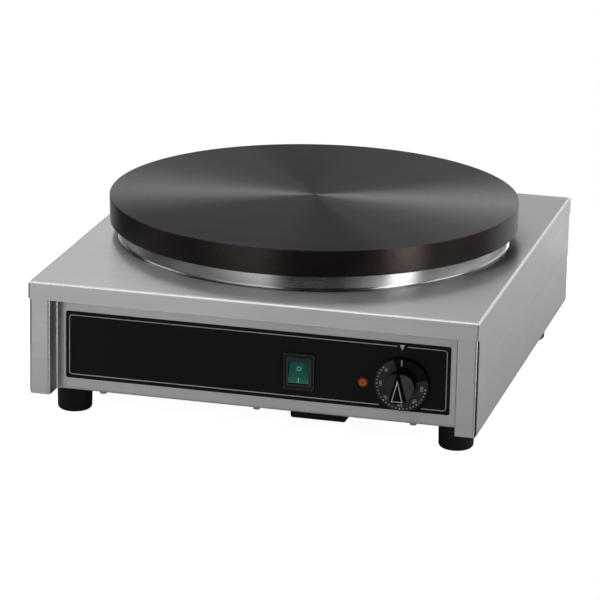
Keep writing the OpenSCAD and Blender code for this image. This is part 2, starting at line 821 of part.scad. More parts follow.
// Outline of the rocker's face and ends about its pin, drawn with z outward along x and up along y
module rocker_side() intersection() {
  circle(rocker_r);
  polygon([
    [-rocker_back, -rocker_r], [rocker_mid + rocker_r * tan(rocker_tip / 2), -rocker_r], [rocker_mid, 0],
    [rocker_mid + rocker_r * tan(rocker_tip / 2), rocker_r], [-rocker_back, rocker_r]
  ]);
}

module switch_housing() color(black) on_front(switch_x, switch_z) difference() {
  union() {
    translate([0, 0, label_t]) linear_extrude(bezel_t) rounded([bezel_w, bezel_h], bezel_corner);
    translate([0, 0, label_t]) linear_extrude(bezel_t + frame_t) rounded([frame_w, frame_h], frame_corner);
    translate([0, 0, -switch_deep]) linear_extrude(switch_deep + label_t)
      square([switch_body_w, switch_body_h], center = true);
  }
  translate([0, 0, rocker_pin_z]) {
    rotate([0, 90, 0]) {
      cylinder(h = window_w, r = rocker_r + rocker_gap, center = true);
      cylinder(h = window_w + 2 * rocker_pin_hole, r = rocker_pin_r + run_gap, center = true, $fn = 36);
    }
    translate([-window_w / 2, -window_h / 2, 0]) cube([window_w, window_h, 3 * bezel_t]);
  }
  for (x = [-1, 1], y = [-1, 1]) translate([x * switch_blade_x, y * switch_blade_y, -switch_deep - e])
    linear_extrude(e + blade_in) square([blade.x, blade.y] + [run_gap, run_gap], center = true);
}

module switch_rocker() color([0.0, 0.55, 0.42]) on_front(switch_x, switch_z) translate([0, 0, rocker_pin_z])
  rotate([-rocker_tip / 2, 0, 0]) {
    rotate([0, -90, 0]) linear_extrude(rocker_w, center = true) rocker_side();
    rotate([0, 90, 0]) cylinder(h = window_w + 2 * rocker_pin_in, r = rocker_pin_r, center = true, $fn = 36);
  }

module blades(places, back) for (p = places) translate([p.x, p.y, -back - blade.z])
  linear_extrude(blade.z + blade_in) square([blade.x, blade.y], center = true);

module switch_terminals() color(brass) on_front(switch_x, switch_z) blades(
  [for (x = [-1, 1], y = [-1, 1]) [x * switch_blade_x, y * switch_blade_y]], switch_deep
);

// ---- Pilot lamp ----

module pilot_lamp_lens() color([0.93, 0.42, 0.12]) on_front(lamp_x, lamp_z) translate([0, 0, label_t]) {
  dome = (lamp_dome_r * lamp_dome_r + lamp_dome_h * lamp_dome_h) / (2 * lamp_dome_h);
  cylinder(h = lamp_flange, r = lamp_d / 2, $fn = 48);
  intersection() {
    translate([0, 0, lamp_flange + lamp_dome_h - dome]) sphere(dome);
    translate([0, 0, lamp_flange / 2]) cylinder(h = lamp_dome_h + lamp_flange, r = lamp_dome_r, $fn = 48);
  }
}

module pilot_lamp_body() color([0.85, 0.85, 0.82]) on_front(lamp_x, lamp_z) {
  translate([0, 0, -lamp_deep]) cylinder(h = lamp_deep + label_t, r = lamp_tube_r, $fn = 48);
}

module pilot_lamp_nut() color(black) on_front(lamp_x, lamp_z) translate([0, 0, -sheet_t - lamp_nut_h])
  hex_nut(lamp_nut_h, lamp_nut_r, lamp_tube_r + run_gap);

// ---- Thermostat and knob ----

module thermostat_body() color([0.82, 0.80, 0.74]) on_front(knob_x, knob_z) difference() {
  union() {
    translate([0, 0, -sheet_t - thermo_deep]) linear_extrude(thermo_deep) rounded([thermo_w, thermo_w], 2);
    translate([0, 0, -sheet_t - thermo_deep - capsule_h]) cylinder(h = capsule_h + 1, r = capsule_r);
    translate([0, 0, -sheet_t - 1]) cylinder(h = sheet_t + label_t + 1, r = bush_r, $fn = 48);
  }
  translate([0, 0, -shaft_in]) cylinder(h = shaft_in + label_t + e, r = shaft_r + run_gap, $fn = 48);
  for (x = [-1, 1]) translate([x * thermo_screw_x, 0, -thermo_grip])
    cylinder(h = thermo_grip, r = m4 / 2 + run_gap, $fn = 36);
  for (p = thermo_blades) translate([p.x, p.y, -sheet_t - thermo_deep - e])
    linear_extrude(e + blade_in) square([blade.x, blade.y] + [run_gap, run_gap], center = true);
}

thermo_blades = [
  [-thermo_blade_x, thermo_blade_y], [thermo_blade_x, thermo_blade_y], [thermo_blade_x, -thermo_blade_y]
];

module thermostat_terminals() color(brass) on_front(knob_x, knob_z)
  blades(thermo_blades, sheet_t + thermo_deep);

module thermostat_screws() color([0.8, 0.8, 0.8]) on_front(knob_x, knob_z) for (x = [-1, 1])
  translate([x * thermo_screw_x, 0, 0]) mirror([0, 0, 1])
    screw(thermo_head_r, thermo_head_h, m4 / 2, thermo_grip);

// Round shaft section with one flat
module shaft_section(r, flat) intersection() {
  circle(r, $fn = 48);
  translate([-r - e, -r - e]) square([2 * (r + e), 2 * r + e - flat]);
}

module thermostat_shaft() color([0.8, 0.8, 0.8]) on_front(knob_x, knob_z) {
  translate([0, 0, 0.1 - shaft_in]) cylinder(h = shaft_in - 0.1 + dial_back, r = shaft_r, $fn = 48);
  linear_extrude(shaft_out) shaft_section(shaft_r, shaft_flat);
}

// Sector of a circle, in degrees clockwise from the top
module sector(r, from, to) {
  steps = 8;
  polygon([
    [0, 0],
    for (i = [0:steps]) let (a = from + (to - from) * i / steps) 1.2 * r * [sin(a), cos(a)]
  ]);
}

module knob() color(black) on_front(knob_x, knob_z) difference() {
  union() {
    rotate_extrude() {
      polygon([
        [0, dial_back], [dial_r, dial_back], [dial_r, dial_front - dial_edge],
        [dial_r - dial_edge, dial_front], [0, dial_front]
      ]);
    }
    translate([0, 0, dial_front - e])
      cylinder(h = grip_h - dial_front + e, r1 = grip_r + grip_taper, r2 = grip_r);
  }
  // the scale's zone, a shallow step round the off zone
  translate([0, 0, dial_front - zone_deep]) linear_extrude(e) difference() {
    circle(dial_r - dial_edge - zone_edge);
    circle(grip_r + grip_taper + grip_edge);
    sector(dial_r, off_start, off_end);
  }
  // two scoops leave the pointer, narrow at the top
  for (side = [-1, 1]) translate([0, pointer_tip, grip_h + scoop_rise]) rotate(side * pointer_half)
    translate([side * (sqrt(scoop_r * scoop_r - scoop_rise * scoop_rise) + scoop_margin), -pointer_tip, 0])
      rotate([90, 0, 0]) cylinder(h = 3 * grip_r, r = scoop_r, center = true);
  // hollow underside round the hub
  translate([0, 0, dial_back - e]) linear_extrude(dial_hollow + e) difference() {
    circle(dial_r - dial_wall);
    circle(hub_r, $fn = 48);
  }
  translate([0, 0, dial_back - e]) linear_extrude(shaft_out - dial_back + e)
    shaft_section(shaft_r + run_gap, shaft_flat - run_gap);
}

// ---- Bulbs and capillaries ----

module bulb(y) translate([-bulb_len / 2, plate_back + y, tube_z]) rotate([0, 90, 0])
  cylinder(h = bulb_len, r = bulb_r, $fn = 36);

module thermostat_bulb() color([0.78, 0.52, 0.36]) bulb(bulb_y);
module limit_bulb() color([0.78, 0.52, 0.36]) bulb(-bulb_y);

capillary_z = pan_low - capillary_down;
thermo_lane_x = knob_x + thermo_side;
lane_y = controls_lane - panel_y; // the lane that crosses behind the controls

module thermostat_capillary() color([0.78, 0.52, 0.36]) rod([
  [-bulb_len / 2, thermo_drop.y, tube_z],
  [thermo_drop.x, thermo_drop.y, tube_z],
  [thermo_drop.x, thermo_drop.y, capillary_z],
  [thermo_lane_x, thermo_drop.y, capillary_z],
  [thermo_lane_x, lane_y, capillary_z],
  [thermo_lane_x, lane_y, knob_z],
  [knob_x, lane_y, knob_z],
  [knob_x, -panel_y + sheet_t + thermo_deep + capsule_h, knob_z]
], capillary_r);

module limit_capillary() color([0.78, 0.52, 0.36]) rod([
  [bulb_len / 2, limit_drop.y, tube_z],
  [limit_drop.x, limit_drop.y, tube_z],
  [limit_drop.x, limit_drop.y, capillary_z],
  [limit_x + limit_w, limit_drop.y, capillary_z],
  [limit_x + limit_w, limit_drop.y, base_top + limit_h + 4],
  [limit_x + limit_w, limit_y, base_top + limit_h + 4],
  [limit_x + limit_w, limit_y, base_top + limit_h / 2],
  [limit_x + limit_w / 2, limit_y, base_top + limit_h / 2]
], capillary_r);

// ---- Over-temperature cut-out ----

limit_back = limit_y + limit_w / 2;
limit_tabs = [[-limit_blade_x, 8], [-limit_blade_x, 14], [limit_blade_x, 8]];

module limit_thermostat() color([0.82, 0.80, 0.74]) difference() {
  translate([limit_x, limit_y, 0]) difference() {
    union() {
      translate([0, 0, base_top]) linear_extrude(limit_h) rounded([limit_w, limit_w], 2);
      translate([0, 0, base_low - neck_down]) cylinder(h = neck_down + 2 * sheet_t, r = neck_r, $fn = 48);
    }
    translate([0, 0, base_low - neck_down - e]) cylinder(h = reset_bore_h, r = reset_r + run_gap, $fn = 48);
    translate([0, 0, shoulder_low - 0.1])
      cylinder(h = reset_top - shoulder_low + reset_travel + 1, r = shoulder_r + shoulder_gap, $fn = 48);
  }
  for (p = limit_tabs) translate([limit_x + p.x, limit_back, base_top + p.y])
    cube([blade.x, 2 * blade_in, blade.y] + [run_gap, 0, run_gap], center = true);
}

module limit_terminals() color(brass) for (p = limit_tabs)
  translate([limit_x + p.x - blade.x / 2, limit_back - blade_in, base_top + p.y - blade.y / 2])
    cube([blade.x, blade_in + blade.z, blade.y]);

module reset_button() color([0.75, 0.12, 0.10]) translate([limit_x, limit_y, 0]) {
  translate([0, 0, reset_low]) cylinder(h = reset_top - reset_low, r = reset_r, $fn = 48);
  translate([0, 0, shoulder_low]) cylinder(h = shoulder_h, r = shoulder_r, $fn = 48);
}

// Box with round lower edges, under the plane at the top
module tub(size, corner, round) intersection() {
  translate([0, 0, -size.z]) linear_extrude(size.z) rounded([size.x, size.y], corner);
  mirror([0, 0, 1]) along_y(size.y) arched(size.x, size.z, round);
  mirror([0, 0, 1]) along_x(size.x) arched(size.y, size.z, round);
}

module reset_guard() color(black) translate([limit_x, limit_y, base_low]) difference() {
  union() {
    difference() {
      tub([guard_w, guard_d, guard_h], guard_corner, guard_round);
      translate([0, 0, e]) tub([guard_w - 2 * guard_t, guard_d - 2 * guard_t, guard_h - guard_t + e],
        guard_corner - guard_t, guard_round - guard_t);
    }
    for (x = [-1, 1]) translate([x * guard_screw_x, 0, -guard_h])
      cylinder(h = guard_h, r = guard_boss_r, $fn = 36);
  }
  translate([0, 0, -guard_h - e]) {
    cylinder(h = guard_t + 2 * e, r = guard_hole_r, $fn = 48);
    for (x = [-1, 1]) translate([x * guard_screw_x, 0, 0]) {
      cylinder(h = guard_h + 2 * e, r = m3_r + screw_gap, $fn = 36);
      cylinder(h = m3_head_h + e, r = m3_head_r + screw_gap, $fn = 36);
    }
  }
}

module guard_screws() color([0.8, 0.8, 0.8]) for (x = [-1, 1])
  translate([limit_x + x * guard_screw_x, limit_y, guard_low + m3_head_h])
    screw(m3_head_r, m3_head_h, m3_r, guard_h - m3_head_h + sheet_t + 3);

// ---- Terminal block, earth stud and cord gland ----

module terminal_block() color([0.93, 0.92, 0.88]) translate([block_x, block_y, base_top]) difference() {
  translate([-block.x / 2, -block.y / 2, 0]) cube(block);
  for (i = poles) translate([i * pole, 0, pole_z - base_top]) {
    rotate([90, 0, 0]) cylinder(h = block.y + 2 * e, r = pole_r, center = true, $fn = 36);
    for (y = [-1, 1]) translate([0, y * clamp_screw_y, 0])
      cylinder(h = block.z, r = clamp_screw_r + run_gap, $fn = 36);
  }
}

module terminal_screws() color(brass) translate([block_x, block_y, pole_z])
  for (i = poles, y = [-1, 1]) translate([i * pole, y * clamp_screw_y, wire_r])
    cylinder(h = block.z - pole_z + base_top - wire_r - 3, r = clamp_screw_r, $fn = 36);

module earth_stud() color(brass) translate([earth_x, earth_y, base_top]) {
  cylinder(h = 12, r = earth_r, $fn = 36);
  translate([0, 0, tag_t]) hex_nut(4, 4.6, earth_r + run_gap);
}

module gland_body() color(black) on_rear(gland_x, gland_z) difference() {
  union() {
    cylinder(h = gland_flange_h, r = gland_hex_r, $fn = 6);
    translate([0, 0, -gland_tail]) cylinder(h = gland_tail + 1, r = thread_r);
    cylinder(h = gland_flange_h + gland_neck_h, r = gland_neck_r);
  }
  translate([0, 0, -gland_tail - e]) cylinder(h = gland_tail + seal_low + 2 * e, r = gland_bore - 0.5);
  translate([0, 0, seal_low]) cylinder(h = gland_flange_h + gland_neck_h, r = gland_bore);
}

module gland_seal() color([0.2, 0.2, 0.2]) on_rear(gland_x, gland_z) translate([0, 0, seal_low])
  difference() {
    cylinder(h = seal_h, r = gland_bore - run_gap);
    translate([0, 0, -e]) cylinder(h = seal_h + 2 * e, r = cord_d / 2);
  }

module gland_nut() color(black) on_rear(gland_x, gland_z) translate([0, 0, gland_flange_h]) difference() {
  union() {
    cylinder(h = cap_h, r = gland_hex_r - 0.6, $fn = 6);
    translate([0, 0, cap_h - 0.01]) rotate_extrude() polygon([
      [0, 0], [gland_hex_r - 2, 0], [cap_hole + 2, cap_cone], [0, cap_cone]
    ]);
  }
  translate([0, 0, -e]) cylinder(h = gland_neck_h + seal_low - 1 + e, r = gland_neck_r + run_gap);
  translate([0, 0, -e]) cylinder(h = cap_h + cap_cone + 2 * e, r = cap_hole);
}

module gland_locknut() color([0.8, 0.8, 0.8]) on_rear(gland_x, gland_z)
  translate([0, 0, -sheet_t - locknut_h]) hex_nut(locknut_h, gland_hex_r, thread_r + run_gap);

// ---- Wires ----

block_in = block_y - 2; // where the wires end in the terminal block
switch_back = -panel_y + switch_deep + blade.z;
thermo_back = -panel_y + sheet_t + thermo_deep + blade.z;
limit_tip = limit_back + blade.z;
outer_live = leg_at(outer_ring_r, outer_half_gap, 1);
outer_neutral = leg_at(outer_ring_r, outer_half_gap, -1);
inner_live = leg_at(inner_ring_r, inner_half_gap, 1);
inner_neutral = leg_at(inner_ring_r, inner_half_gap, -1);
lamp_back = -panel_y + lamp_deep;
pole_x = [for (i = poles) block_x + i * pole]; // live, two neutrals, the lamp's neutral, earth

module live_wires() color([0.45, 0.24, 0.12]) {
  supply_y = block_y - supply_back;
  switch_right = switch_x + switch_blade_x;
  switch_high = switch_z + switch_blade_y;
  switch_low = switch_z - switch_blade_y;
  thermo_high = knob_z + thermo_blades[0].y;
  thermo_low = knob_z + thermo_blades[2].y;
  // terminal block to switch
  rod([
    [pole_x[0], block_in, pole_z], [pole_x[0], supply_y, pole_z], [switch_right, supply_y, pole_z],
    [switch_right, supply_y, switch_high], [switch_right, switch_back, switch_high]
  ], wire_r);
  // switch to thermostat
  rod([
    [switch_right, switch_back, switch_low], [switch_right, lane_y, switch_low],
    [knob_x - thermo_blade_x, lane_y, switch_low], [knob_x - thermo_blade_x, lane_y, thermo_high],
    [knob_x - thermo_blade_x, thermo_back, thermo_high]
  ], wire_r);
  // thermostat to over-temperature cut-out
  tab_z = base_top + limit_tabs[2].y;
  cutout_y = lane_y + cutout_lane;
  rod([
    [knob_x + thermo_blade_x, thermo_back, thermo_high], [knob_x + thermo_blade_x, cutout_y, thermo_high],
    [knob_x + thermo_blade_x, cutout_y, tab_z], [limit_x + limit_blade_x, cutout_y, tab_z],
    [limit_x + limit_blade_x, limit_tip, tab_z]
  ], wire_r);
  // cut-out to both elements
  for (w = [[outer_live, 0, outer_lane], [inner_live, 1, inner_lane]]) {
    z = base_top + limit_tabs[w[1]].y;
    y = lane_y + w[2];
    rod([
      [limit_x - limit_blade_x, limit_tip, z], [limit_x - limit_blade_x, y, z], [w[0].x, y, z],
      [w[0].x, w[0].y, z], [w[0].x, w[0].y, pin_low]
    ], wire_r);
  }
  // thermostat to pilot lamp
  lead_x = lamp_x + lamp_lead_x;
  turn_y = lamp_back + lamp_turn;
  rod([
    [lead_x, lamp_back, lamp_z], [lead_x, turn_y, lamp_z], [lead_x, turn_y, thermo_low],
    [knob_x + thermo_blade_x, turn_y, thermo_low], [knob_x + thermo_blade_x, thermo_back, thermo_low]
  ], lead_r);
}

module neutral_wires() color([0.16, 0.32, 0.66]) {
  for (i = [0, 1]) {
    leg = [outer_neutral, inner_neutral][i];
    x = pole_x[i + 1];
    y = block_y - neutral_back[i];
    z = low + neutral_up[i];
    rod([
      [x, block_in, pole_z], [x, y, pole_z], [x, y, z], [leg.x, y, z], [leg.x, leg.y, z],
      [leg.x, leg.y, pin_low]
    ], wire_r);
  }
  lead_x = lamp_x - lamp_lead_x;
  lead_y = lane_y + lead_lane;
  lead_z = base_top + lead_up;
  rise_y = earth_y - tag_r;
  entry_z = pole_z + wire_r - lead_r; // against the clamp screw
  rod([
    [lead_x, lamp_back, lamp_z], [lead_x, lead_y, lamp_z], [lead_x, lead_y, lead_z],
    [lamp_x + lead_side, lead_y, lead_z], [lamp_x + lead_side, rise_y, lead_z],
    [pole_x[3], rise_y, lead_z], [pole_x[3], rise_y, entry_z], [pole_x[3], block_in, entry_z]
  ], lead_r);
}

module earth_wire() color([0.35, 0.60, 0.20]) {
  z = base_top + wire_r;
  rod([
    [pole_x[4], block_in, pole_z], [pole_x[4], earth_y, pole_z],
    [pole_x[4], earth_y, z], [earth_x + tag_r - 1, earth_y, z]
  ], wire_r);
  translate([earth_x, earth_y, base_top]) difference() {
    cylinder(h = tag_t, r = tag_r, $fn = 36);
    translate([0, 0, -e]) cylinder(h = tag_t + 2 * e, r = earth_r + run_gap, $fn = 36);
  }
}

top_cover();
front_panel();
rear_panel();
base_plate();
control_label();
casing_screws();
foot(-1, -1);  // foot_front_left
foot(1, -1);  // foot_front_right
foot(-1, 1);  // foot_rear_left
foot(1, 1);  // foot_rear_right
foot_screws();
foot_nuts();
griddle_plate();
collar_ring();
collar_screws();
inner_element();
outer_element();
element_clamp();
griddle_studs();
clamp_nuts();
pan_nuts();
insulation_blanket();
insulation_pan();
switch_housing();
switch_rocker();
switch_terminals();
pilot_lamp_lens();
pilot_lamp_body();
pilot_lamp_nut();
thermostat_body();
thermostat_shaft();
thermostat_terminals();
thermostat_screws();
thermostat_bulb();
thermostat_capillary();
knob();
limit_thermostat();
limit_terminals();
limit_bulb();
limit_capillary();
reset_button();
reset_guard();
guard_screws();
terminal_block();
terminal_screws();
earth_stud();
gland_body();
gland_nut();
gland_seal();
gland_locknut();
live_wires();
neutral_wires();
earth_wire();
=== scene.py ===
import math

import bmesh
import bpy
from mathutils import Matrix, Vector
from mathutils.bvhtree import BVHTree


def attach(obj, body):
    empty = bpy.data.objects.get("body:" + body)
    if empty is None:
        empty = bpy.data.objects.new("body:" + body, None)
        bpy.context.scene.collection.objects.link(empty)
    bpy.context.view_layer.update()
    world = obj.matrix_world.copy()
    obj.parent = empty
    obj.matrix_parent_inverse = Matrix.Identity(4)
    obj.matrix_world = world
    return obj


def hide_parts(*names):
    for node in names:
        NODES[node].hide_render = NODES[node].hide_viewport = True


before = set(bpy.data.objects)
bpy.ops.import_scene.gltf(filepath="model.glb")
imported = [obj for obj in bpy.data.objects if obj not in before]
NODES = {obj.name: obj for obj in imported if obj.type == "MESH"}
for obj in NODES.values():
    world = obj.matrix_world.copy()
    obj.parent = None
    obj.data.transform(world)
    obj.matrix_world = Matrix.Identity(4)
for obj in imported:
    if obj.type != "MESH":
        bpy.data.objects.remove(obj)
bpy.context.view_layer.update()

# Electric crepe maker: turned cast plate on a spun collar, folded brushed casing, black control label.
# Lengths are millimetres until they meet a mesh. The controls face -Y.

MM = 0.001

# ---- Sizes shared with the frame ----

# cooking plate: how far its axis lies behind the middle, and its outline
PLATE_BACK = 5.0
PLATE_R = 200.0
PLATE_TOP = 180.0
PLATE_UNDER = 168.0
SKIRT_IN = 193.0
SKIRT_LOW = 154.0
# spun collar: its sheet, wall, foot on the cover and flange under the plate
COVER_TOP = 138.0
COLLAR_SHEET = 1.5
COLLAR_R = 188.5
COLLAR_TOP = 168.0
COLLAR_FLARE = 3.0
COLLAR_FOOT_IN, COLLAR_FOOT_OUT = 172.0, 191.4
COLLAR_FLANGE_IN = 176.0
# control face, its film and what stands on it
FACE_Y = -207.5
LABEL_T = 0.4
KNOB_X, KNOB_Z = 140.0, 66.4
SWITCH_X, SWITCH_Z = 42.0, 68.3
LAMP_X, LAMP_Z = 103.0, 64.5
# knob: heights over the control face, then the dial's inner radius and its off zone in degrees
ZONE_FACE = 5.1
OFF_FACE = 5.4
GRIP_FACE = 22.0
SCALE_IN = 14.2
OFF_MIDDLE, OFF_HALF = 28.0, 46.0
# joint between the posts' sides and the cover, from the middle; sideways panel faces past it get painted shade
SEAM_X = 212.9


def front(x, z, proud=0.0):
    """Local frame of the control face: x to the right, y up, z outward."""
    turn = Matrix(((1, 0, 0), (0, 0, -1), (0, 1, 0))).to_4x4()
    return Matrix.Translation(Vector((x, FACE_Y - proud, z)) * MM) @ turn @ Matrix.Scale(MM, 4)


# ---- Shader wiring ----

class Sheet:
    """A shader tree with short calls for the nodes that these finishes use."""

    def __init__(self, tree):
        self.tree = tree

    def add(self, kind, inputs=None, **settings):
        node = self.tree.nodes.new(kind)
        for key, value in settings.items():
            setattr(node, key, value)
        for key, value in (inputs or {}).items():
            self.feed(value, node.inputs[key])
        return node

    def feed(self, value, socket):
        if isinstance(value, bpy.types.NodeSocket):
            self.tree.links.new(value, socket)
        else:
            socket.default_value = value

    def math(self, operation, a, b=0.0):
        return self.add("ShaderNodeMath", {0: a, 1: b}, operation=operation).outputs[0]

    def blend(self, factor, a, b):
        node = self.add("ShaderNodeMix", data_type="RGBA")
        for value, index in ((factor, 0), (a, 6), (b, 7)):
            self.feed(value, node.inputs[index])
        return node.outputs[2]

    def between(self, factor, a, b):
        """Number from a to b as the factor goes from 0 to 1."""
        return self.add("ShaderNodeMapRange", {"Value": factor, "To Min": a, "To Max": b}).outputs[0]

    def span(self, value, low, high):
        """0 to 1 as the value goes from low to high."""
        node = self.add("ShaderNodeMapRange", {"Value": value, "From Min": low, "From Max": high})
        return node.outputs[0]

    def noise(self, place, scale, detail=3.0, rough=0.55, distortion=0.0):
        node = self.add("ShaderNodeTexNoise", {
            "Vector": place, "Scale": scale, "Detail": detail, "Roughness": rough, "Distortion": distortion})
        return node.outputs["Fac"]

    def place(self, centre=(0, 0, 0), turn=(0, 0, 0)):
        """Object coordinates, centred on a point in millimetres and turned."""
        where = self.add("ShaderNodeTexCoord").outputs["Object"]
        moved = self.add("ShaderNodeMapping", {
            "Vector": where, "Location": [-c * MM for c in centre]}).outputs[0]
        return self.add("ShaderNodeMapping", {"Vector": moved, "Rotation": turn}).outputs[0]

    def bump(self, height, strength, distance):
        node = self.add("ShaderNodeBump", {"Height": height, "Strength": strength, "Distance": distance})
        return node.outputs[0]


def effect(name, inputs, outputs, wire):
    """Shader group with named inputs and outputs, built once."""
    tree = bpy.data.node_groups.new(name, "ShaderNodeTree")
    for label, kind, value in inputs:
        socket = tree.interface.new_socket(label, in_out="INPUT", socket_type=kind)
        if value is not None:
            socket.default_value = value
    for label, kind in outputs:
        tree.interface.new_socket(label, in_out="OUTPUT", socket_type=kind)
    sheet = Sheet(tree)
    start, end = sheet.add("NodeGroupInput"), sheet.add("NodeGroupOutput")
    for label, value in wire(sheet, start.outputs).items():
        sheet.feed(value, end.inputs[label])
    return tree


VECTOR, NUMBER = "NodeSocketVector", "NodeSocketFloat"
FACING = 0.7  # a face points along an axis when its normal has more than this of it


def wire_sheet_grain(s, given):
    """Brushing that runs along X on tops and fronts and along Y on the sides."""
    normal = s.add("ShaderNodeSeparateXYZ", {0: s.add("ShaderNodeTexCoord").outputs["Normal"]})
    side = s.math("GREATER_THAN", s.math("ABSOLUTE", normal.outputs[0]), FACING)
    where = s.add("ShaderNodeSeparateXYZ", {0: given["Place"]})
    along = s.add("ShaderNodeMix", {0: side, 2: where.outputs[0], 3: where.outputs[1]}).outputs[0]
    across = s.add("ShaderNodeMix", {0: side, 2: where.outputs[1], 3: where.outputs[0]}).outputs[0]
    stretched = s.add("ShaderNodeCombineXYZ", {
        0: s.math("MULTIPLY", along, given["Stretch"]), 1: across, 2: where.outputs[2]}).outputs[0]
    fine = s.noise(stretched, given["Fine"], 4.0, 0.65)
    broad = s.noise(stretched, s.math("MULTIPLY", given["Fine"], 0.12), 2.0, 0.5)
    return {"Lines": fine, "Bands": broad}


def wire_ring_grain(s, given):
    """Turning marks round the local Z axis."""
    where = s.add("ShaderNodeSeparateXYZ", {0: given["Place"]})
    flat = s.add("ShaderNodeCombineXYZ", {0: where.outputs[0], 1: where.outputs[1]}).outputs[0]
    reach = s.add("ShaderNodeVectorMath", {0: flat}, operation="LENGTH").outputs["Value"]
    turn = s.math("ARCTAN2", where.outputs[1], where.outputs[0])
    ring = s.add("ShaderNodeCombineXYZ", {
        0: reach, 1: s.math("MULTIPLY", s.math("SINE", turn), 0.004), 2: where.outputs[2]}).outputs[0]
    fine = s.noise(ring, given["Fine"], 4.0, 0.6)
    broad = s.noise(ring, s.math("MULTIPLY", given["Fine"], 0.1), 2.0, 0.5)
    return {"Lines": fine, "Bands": broad, "Reach": reach}


def wire_edge_masks(s, given):
    """Masks that rise where a rounded normal leaves the true one: the piece's edges, for wear and for painted
    highlights.
    """
    soft = s.add("ShaderNodeBevel", {"Radius": given["Radius"]}, samples=4).outputs[0]
    true = s.add("ShaderNodeNewGeometry").outputs["Normal"]
    same = s.add("ShaderNodeVectorMath", {0: soft, 1: true}, operation="DOT_PRODUCT").outputs["Value"]
    edge = s.span(s.math("SUBTRACT", 1.0, same), 0.02, 0.22)
    broken = s.span(s.noise(given["Place"], given["Patches"], 4.0, 0.6), 0.32, 0.62)
    return {"Edge": edge, "Worn": s.math("MULTIPLY", edge, broken)}


def wire_handling(s, given):
    """Faint smears: broad cloudy patches."""
    return {"Smear": s.span(s.noise(given["Place"], given["Patches"], 5.0, 0.6, 0.6), 0.35, 0.7)}


def wire_pebble(s, given):
    """Fine moulded texture."""
    small = s.noise(given["Place"], given["Fine"], 3.0, 0.6)
    pebbles = s.add("ShaderNodeTexVoronoi", {"Vector": given["Place"], "Scale": given["Fine"]})
    cells = pebbles.outputs["Distance"]
    return {"Height": s.math("ADD", s.math("MULTIPLY", small, 0.6), s.math("MULTIPLY", cells, 0.4))}


SHEET_GRAIN = effect("sheet grain", [
    ("Place", VECTOR, None), ("Fine", NUMBER, 900.0), ("Stretch", NUMBER, 0.02)],
    [("Lines", NUMBER), ("Bands", NUMBER)], wire_sheet_grain)
RING_GRAIN = effect("ring grain", [
    ("Place", VECTOR, None), ("Fine", NUMBER, 900.0)],
    [("Lines", NUMBER), ("Bands", NUMBER), ("Reach", NUMBER)], wire_ring_grain)
EDGE_MASKS = effect("edge wear", [
    ("Place", VECTOR, None), ("Radius", NUMBER, 0.0006), ("Patches", NUMBER, 60.0)],
    [("Edge", NUMBER), ("Worn", NUMBER)], wire_edge_masks)
HANDLING = effect("handling marks", [
    ("Place", VECTOR, None), ("Patches", NUMBER, 14.0)], [("Smear", NUMBER)], wire_handling)
PEBBLE = effect("moulded pebble", [
    ("Place", VECTOR, None), ("Fine", NUMBER, 2500.0)], [("Height", NUMBER)], wire_pebble)


def grouped(s, tree, inputs):
    node = s.add("ShaderNodeGroup", node_tree=tree)
    for key, value in inputs.items():
        s.feed(value, node.inputs[key])
    return node.outputs


def finish_named(name):
    """New material with its tree and its shader."""
    material = bpy.data.materials.new(name)
    material.use_nodes = True
    s = Sheet(material.node_tree)
    shader = next(n for n in material.node_tree.nodes if n.type == "BSDF_PRINCIPLED")
    return material, s, shader.inputs


# ---- Finishes ----

BRUSH_STRETCH = 0.015  # scale of the brushing along its run, against 1 across it
# painted highlight: the pale tone given to the folds and edges of brushed steel
FOLD_HIGHLIGHT_TONE = (0.9, 0.9, 0.9, 1)
# painted shade: the dark tone for the post returns inside the slot beside the sides
SLOT_SHADE_TONE = (0.03, 0.03, 0.03, 1)


